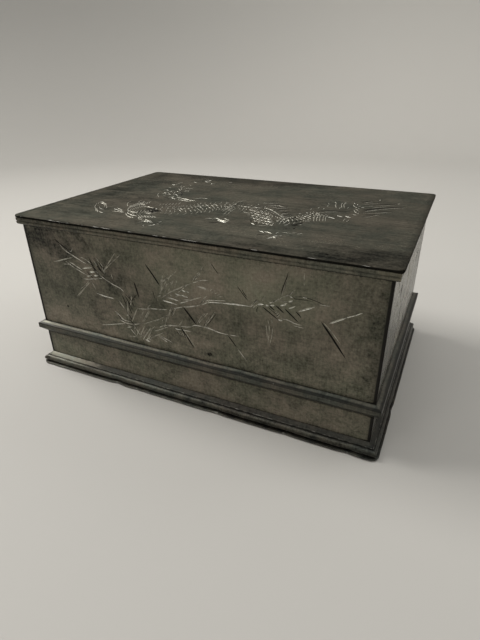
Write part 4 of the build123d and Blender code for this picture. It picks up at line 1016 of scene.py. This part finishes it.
lidFrame = faceFrame((0, 0, 1), (0, 1, 0), (0, 0, lidTop))
lidMesh = workingCopy("lid_plate")
lidMesh.transform(lidFrame.inverted())
for axis in (0, 1):
    sliceEvery(lidMesh, axis, lidLook["slice"] * mm)
for axis, half in ((0, lidX), (1, lidY)):
    for sign in (-1, 1):
        sliceAt(lidMesh, axis, sign * (half - lidLook["rim"]) * mm)
sliceAt(lidMesh, 2, -lidLook["rim"] * mm)
lidPlate = engrave("lid_cut", lidMesh, lidLook, dragonCuts, lidPewter, lidLook["bodyPath"])
wearLid(lidPlate)
lidPlate.transform(lidFrame)
newPiece("lid_engraved", lidPlate, "lid", ["lid_plate"])
print("lid engraved:", len(lidPlate.polygons), "faces")

# The four walls: the front's bamboo follows the photograph, and the others repeat its sprays,
# scaled along the wall and turned round where the scale is negative. What passes clear is left out.
wallLook = {
    "cutDepth": 0.5, "overcut": 0.25, "slice": 6.0,
    "front": {"scale": 1.0, "shift": 0.0, "clear": 99.0},
    "right": {"scale": 0.68, "shift": 2.0, "clear": 63.0},
    "back": {"scale": -1.0, "shift": 4.0, "clear": 99.0},
    "left": {"scale": -0.68, "shift": -3.0, "clear": 63.0},
}
outwardOf = {"front": (0, -1, 0), "right": (1, 0, 0), "back": (0, 1, 0), "left": (-1, 0, 0)}


def fitted(rows, scale, shift, clear):  # the front's strokes, set on another wall
    made = []
    for width, *values in rows:
        acrossWall = [x * scale + shift for x in values[::2]]
        if max(abs(x) for x in acrossWall) < clear:
            made.append((width, *(value for point in zip(acrossWall, values[1::2]) for value in point)))
    return made


for side, outward in outwardOf.items():
    wallFrame = faceFrame(outward, (0, 0, 1), Vector(outward) * (wallX if outward[0] else wallY))
    wallMesh = workingCopy(side + "_panel")
    wallMesh.transform(wallFrame.inverted())
    for axis in (0, 1):
        sliceEvery(wallMesh, axis, wallLook["slice"] * mm)
    bamboo = {kind: fitted(rows, **wallLook[side]) for kind, rows in bambooCuts.items()}
    wall = engrave(side + "_cut", wallMesh, wallLook, bamboo, casePewter)
    wall.transform(wallFrame)
    newPiece(side + "_panel_engraved", wall, "case", [side + "_panel"])
    print(side, "panel engraved:", len(wall.polygons), "faces")

# Mouldings and foot: soft sheet metal, so their edges are rubbed, dented and no longer straight.
# Lengths in mm: pitch of the cuts, width of the rubbed edges, wear and wavering of a line.
stripLook = {
    "base": {"slice": 2.2, "bevel": 0.12, "wear": 0.22, "sag": 0.12, "shine": 1.0},
    "waist": {"slice": 2.2, "bevel": 0.14, "wear": 0.28, "sag": 0.1, "shine": 1.0},
    "rim": {"slice": 2.0, "bevel": 0.1, "wear": 0.12, "sag": 0.05, "shine": 0.82, "settle": 0.12},
    "foot": {"slice": 3.0, "bevel": 0.1, "wear": 0.3, "sag": 0.0, "shine": 0.9, "undercut": 0.9},
}
wearLook = {  # what they share: places and lengths in mm, scales per mm, angle in degrees
    "leastOut": 0.25, "fullOut": 1.5, "ridgeOut": 0.5, "ridgeAngle": 22.0, "undercutBelow": 0.3,
    "roughScale": 0.13, "fineScale": 0.55, "byRough": 0.65, "settleAbove": 95.2, "settleOut": 1.0,
    "sagScale": 0.035, "sagFrom": 4.0, "sagTo": 94.0, "dentReach": 1.6, "dentShine": 1.1,
}
dents = (  # x, y, z, radius, depth
    (20.5, -72.0, 28.6, 1.3, 0.6),
    (-9.0, -71.0, 27.0, 2.2, 0.5), (34.0, -71.0, 29.0, 3.0, 0.35), (52.0, -71.0, 29.0, 4.0, 0.3),
    (-47.0, -73.0, 1.0, 4.5, 0.9), (-33.0, -73.0, 1.2, 2.5, 0.5), (-26.0, -73.0, 1.2, 2.0, 0.45),
    (92.0, -73.0, 1.0, 4.0, 0.6), (20.0, -73.0, 1.0, 6.0, 0.45), (60.0, -73.0, 1.0, 5.0, 0.4),
    (107.0, -30.0, 1.0, 5.0, 0.5), (-107.0, 12.0, 1.0, 6.0, 0.5), (30.0, 73.0, 1.0, 6.0, 0.5),
)


def outside(place):  # how far a point in mm stands out from the walls, and which way
    return Vector((max(0.0, abs(place.x) - wallX) * math.copysign(1, place.x),
                   max(0.0, abs(place.y) - wallY) * math.copysign(1, place.y), 0))


def slicedStrip(node, look):  # a strip with its long edges bevelled, and cut up so that it can be worn
    strip = workingCopy(node)
    low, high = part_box(node)
    axis = 0 if high.x - low.x > high.y - low.y else 1
    sharp = [edge for edge in strip.edges if edge.is_manifold and edge.is_convex
             and edge.calc_face_angle(0) > math.radians(wearLook["ridgeAngle"])
             and abs((edge.verts[0].co - edge.verts[1].co).normalized()[axis]) > 0.9
             and outside(edge.verts[0].co / mm).length > wearLook["ridgeOut"]]
    ridges = bmesh.ops.bevel(strip, geom=sharp, offset=look["bevel"] * mm, segments=2, affect="EDGES",
                             clamp_overlap=True, profile=0.5)["faces"]
    rub = strip.verts.layers.float.new("rub")
    for face in ridges:
        for vert in face.verts:
            vert[rub] = look["shine"]
    sliceEvery(strip, axis, look["slice"] * mm)
    if node == "foot_plate":
        sliceEvery(strip, 1, look["slice"] * mm)
    return strip, rub


def wornStrip(node, look):
    strip, rub = slicedStrip(node, look)
    for vert in strip.verts:
        place = vert.co / mm
        out = outside(place)
        if out.length < wearLook["leastOut"]:
            continue
        fade = min(1.0, out.length / wearLook["fullOut"])
        rough = waver(place, wearLook["roughScale"], (3, 1, 7))
        fine = waver(place, wearLook["fineScale"])
        amount = look["wear"] * (wearLook["byRough"] * rough + (1 - wearLook["byRough"]) * fine) * fade
        if node == "foot_plate" and place.z < wearLook["undercutBelow"]:
            amount += look["undercut"]
        for x, y, z, radius, depth in dents:
            gap = (place - Vector((x, y, z))).length / radius
            if gap < wearLook["dentReach"]:
                amount += depth * math.exp(-gap * gap * 2)
                vert[rub] = max(vert[rub], wearLook["dentShine"] * math.exp(-gap * gap * 1.5))
        if place.z > wearLook["settleAbove"] and out.length > wearLook["settleOut"]:  # under the lid's edge
            vert.co.z -= look["settle"] * (0.2 + 0.8 * rough * fine * 2) * mm
        lift = look["sag"] * noise.noise(place * wearLook["sagScale"] + Vector((5, 5, 5)))
        vert.co -= out.normalized() * amount * mm
        if wearLook["sagFrom"] < place.z < wearLook["sagTo"]:
            vert.co.z += lift * fade * mm
    bmesh.ops.recalc_face_normals(strip, faces=strip.faces)
    return strip


strips = sorted([name for name in nodes if "_moulding_" in name] + ["foot_plate"])
for node in strips:
    kind = node.split("_")[0]
    strip = plainMesh(node + "_worn", wornStrip(node, stripLook[kind]))
    strip.materials.append(rimPewter if kind == "rim" else mouldingPewter)
    newPiece(node + "_worn", strip, "case", [node])
print("mouldings worn:", len(strips))

# Small parts that keep their CAD form
plainFinishes = {"hinge": hingeMetal, "inner": innerPewter, "ledge": innerPewter, "partition": innerPewter,
                 "lid_lip": innerPewter}
for name, node in nodes.items():
    for start, finish in plainFinishes.items():
        if name.startswith(start):
            node.data.materials.clear()
            node.data.materials.append(finish)

# Rivets through the hinge leaves, on points; their rows are measured from the leaf's lower end
rivetLook = {"radius": 1.25, "rise": 0.55, "across": 11.0, "rows": {3.2: (-1, 1), 8.3: (-1, 0, 1)},
             "leafThick": 0.8, "seed": 3}


def rivetTree():
    net, given = newTree("rivets", {"Geometry": "Geometry", "Rivet Radius": "Float", "Rivet Rise": "Float",
                                    "Seed": "Int"})
    radius = given.output("Rivet Radius")
    ball = net.add("GeometryNodeMeshUVSphere", None, Segments=20, Rings=10, Radius=1.0)
    dome = net.add("GeometryNodeTransform", None, ball,
                   Scale=net.add("ShaderNodeCombineXYZ", None, radius, given.output("Rivet Rise"), radius))
    vary = net.random("FLOAT_VECTOR", (0.9, 0.85, 0.9), (1.08, 1.0, 1.08), given.output("Seed"))
    placed = net.add("GeometryNodeInstanceOnPoints", None, given, Instance=dome, Scale=vary)
    whole = net.add("GeometryNodeRealizeInstances", None, placed)
    net.add("NodeGroupOutput", None, net.add("GeometryNodeSetMaterial", None, whole, Material=hingeMetal))
    return net.tree


points = []
for side in ("left", "right"):
    low, high = corners("hinge_case_leaf_" + side)
    for height, steps in rivetLook["rows"].items():
        for step in steps:
            points.append(Vector(((low[0] + high[0]) / 2 + step * rivetLook["across"],
                                  wallY + rivetLook["leafThick"], low[2] + height)) * mm)
rivets = bpy.data.meshes.new("hinge_rivets")
rivets.from_pydata(points, [], [])
rivets = runTree("hinge_rivets", rivetTree(), rivets, {
    "Rivet Radius": rivetLook["radius"] * mm, "Rivet Rise": rivetLook["rise"] * mm,
    "Seed": rivetLook["seed"]})
newPiece("hinge_rivets", rivets, "case")
print("rivets set:", len(points))

# Studio, in metres: a pale round floor that curves up into a wall, soft lamps above and a pale room.
# Painted light and shade on the floor and wall: the paint gets lighter farther off and to the right: from a
# place to a place, by a gain to a gain.
studio = {
    "floorRadius": 0.85, "curveRadius": 0.35, "wallHeight": 1.1, "around": 96, "upCurve": 12,
    "floor": (0.45, 0.435, 0.405), "wall": (0.42, 0.41, 0.385), "rough": 0.75,
    "riseTo": 0.5, "washScale": 2.4, "wash": 0.1,
    "farther": (-0.2, 0.08, -0.08, 0.1), "sideways": (-1.1, 0.0, -0.42, 0.04),
    "room": (0.8, 0.8, 0.79), "seenRoom": (0.72, 0.71, 0.69), "roomLight": 0.75,
}
lampTarget = (0, 0, 0.03)
lamps = {
    "keyLight": {"place": (-0.9, -0.05, 1.05), "size": 0.7, "power": 14.5, "colour": (1.0, 0.985, 0.96)},
    "frontLight": {"place": (-0.5, -1.1, 0.9), "size": 0.5, "power": 3.0, "colour": (1.0, 0.985, 0.96)},
    "fillLight": {"place": (0.2, -0.2, 1.3), "size": 0.9, "power": 2.5, "colour": (0.97, 0.985, 1.0)},
    "backLight": {"place": (0.95, 0.75, 0.95), "size": 0.6, "power": 3.5, "colour": (0.97, 0.985, 1.0)},
}


def studioFloor():
    profile = [(0.0, 0.0), (studio["floorRadius"] * 0.5, 0.0), (studio["floorRadius"], 0.0)]
    for step in range(1, studio["upCurve"] + 1):
        angle = math.pi / 2 * step / studio["upCurve"]
        profile.append((studio["floorRadius"] + studio["curveRadius"] * math.sin(angle),
                        studio["curveRadius"] * (1 - math.cos(angle))))
    profile.append((profile[-1][0], studio["wallHeight"]))
    mesh = bmesh.new()
    verts = [mesh.verts.new((radius, 0, height)) for radius, height in profile]
    edges = [mesh.edges.new(pair) for pair in zip(verts, verts[1:])]
    bmesh.ops.spin(mesh, geom=verts + edges, axis=(0, 0, 1), cent=(0, 0, 0), dvec=(0, 0, 0),
                   angle=2 * math.pi, steps=studio["around"], use_merge=True)
    bmesh.ops.remove_doubles(mesh, verts=mesh.verts, dist=1e-6)
    bmesh.ops.recalc_face_normals(mesh, faces=mesh.faces)
    bmesh.ops.reverse_faces(mesh, faces=mesh.faces)
    data = plainMesh("studioFloor", mesh)
    data.polygons.foreach_set("use_smooth", [True] * len(data.polygons))
    return newObject("studioFloor", data)


def studioPaint():  # the wall's tone above, with painted light and shade: a little darker towards the front and the left
    material, net, shader = newMaterial("studioPaint")
    place = net.add("ShaderNodeTexCoord", out="Object")
    x, y, z = net.parts(place)
    rise = net.between(z, 0.0, studio["riseTo"])
    farther = net.between(y, *studio["farther"])
    sideways = net.between(x, *studio["sideways"])
    wash = net.grain(place, studio["washScale"], 3, 0.5)
    paint = net.mix(net.between(rise + wash.swing(studio["wash"]), 0.0, 1.0), studio["floor"], studio["wall"])
    # painted light and shade: the paint is scaled lighter towards the back and the right
    net.feed(shader.inputs["Base Color"], net.scaled(paint, 1 + farther + sideways))
    shader.inputs["Roughness"].default_value = studio["rough"]
    return material


def addLamp(name, look):
    light = bpy.data.lights.new(name, "AREA")
    light.shape = "DISK"
    light.size = look["size"]
    light.energy = look["power"]
    light.color = look["colour"]
    lamp = newObject(name, light)
    lamp.location = look["place"]
    lamp.rotation_euler = (Vector(lampTarget) - lamp.location).to_track_quat("-Z", "Y").to_euler()


floor = studioFloor()
floor.data.materials.append(studioPaint())
for name, look in lamps.items():
    addLamp(name, look)

world = bpy.data.worlds.new("paleRoom")
bpy.context.scene.world = world
world.use_nodes = True
background = world.node_tree.nodes["Background"]
net = Net(world.node_tree)
rays = net.add("ShaderNodeLightPath")
seen = rays + rays.output("Is Glossy Ray") + rays.output("Is Transmission Ray")
net.feed(background.inputs["Color"],
         net.mix(net.between(seen, 0.0, 1.0), studio["room"], studio["seenRoom"]))
background.inputs["Strength"].default_value = studio["roomLight"]
print("studio lit:", len(lamps), "lamps")

# Camera from a fit to the box's edges in the photograph: place in metres, angles in degrees, and
# focal length and picture height in the photograph's pixels
view = {"place": (0.11806, -0.2432, 0.16285), "yaw": -25.7, "pitch": 28.013, "roll": -0.802,
        "focal": 455.23, "pictureHeight": 640.0, "sensor": 36.0}
yaw, pitch, roll = (math.radians(view[key]) for key in ("yaw", "pitch", "roll"))
ahead = Vector((math.cos(pitch) * math.sin(yaw), math.cos(pitch) * math.cos(yaw), -math.sin(pitch)))
level = Vector((math.cos(yaw), -math.sin(yaw), 0))
over = level.cross(ahead)
rightward = level * math.cos(roll) + over * math.sin(roll)
upward = over * math.cos(roll) - level * math.sin(roll)
lens = bpy.data.cameras.new("photoCamera")
lens.sensor_width = view["sensor"]
lens.lens = view["focal"] / view["pictureHeight"] * view["sensor"]
lens.clip_start = 0.01
camera = newObject("photoCamera", lens)
turn = Matrix((rightward, upward, -ahead)).transposed().to_4x4()
camera.matrix_world = Matrix.Translation(view["place"]) @ turn
bpy.context.scene.camera = camera
bpy.context.scene.view_settings.view_transform = "Standard"
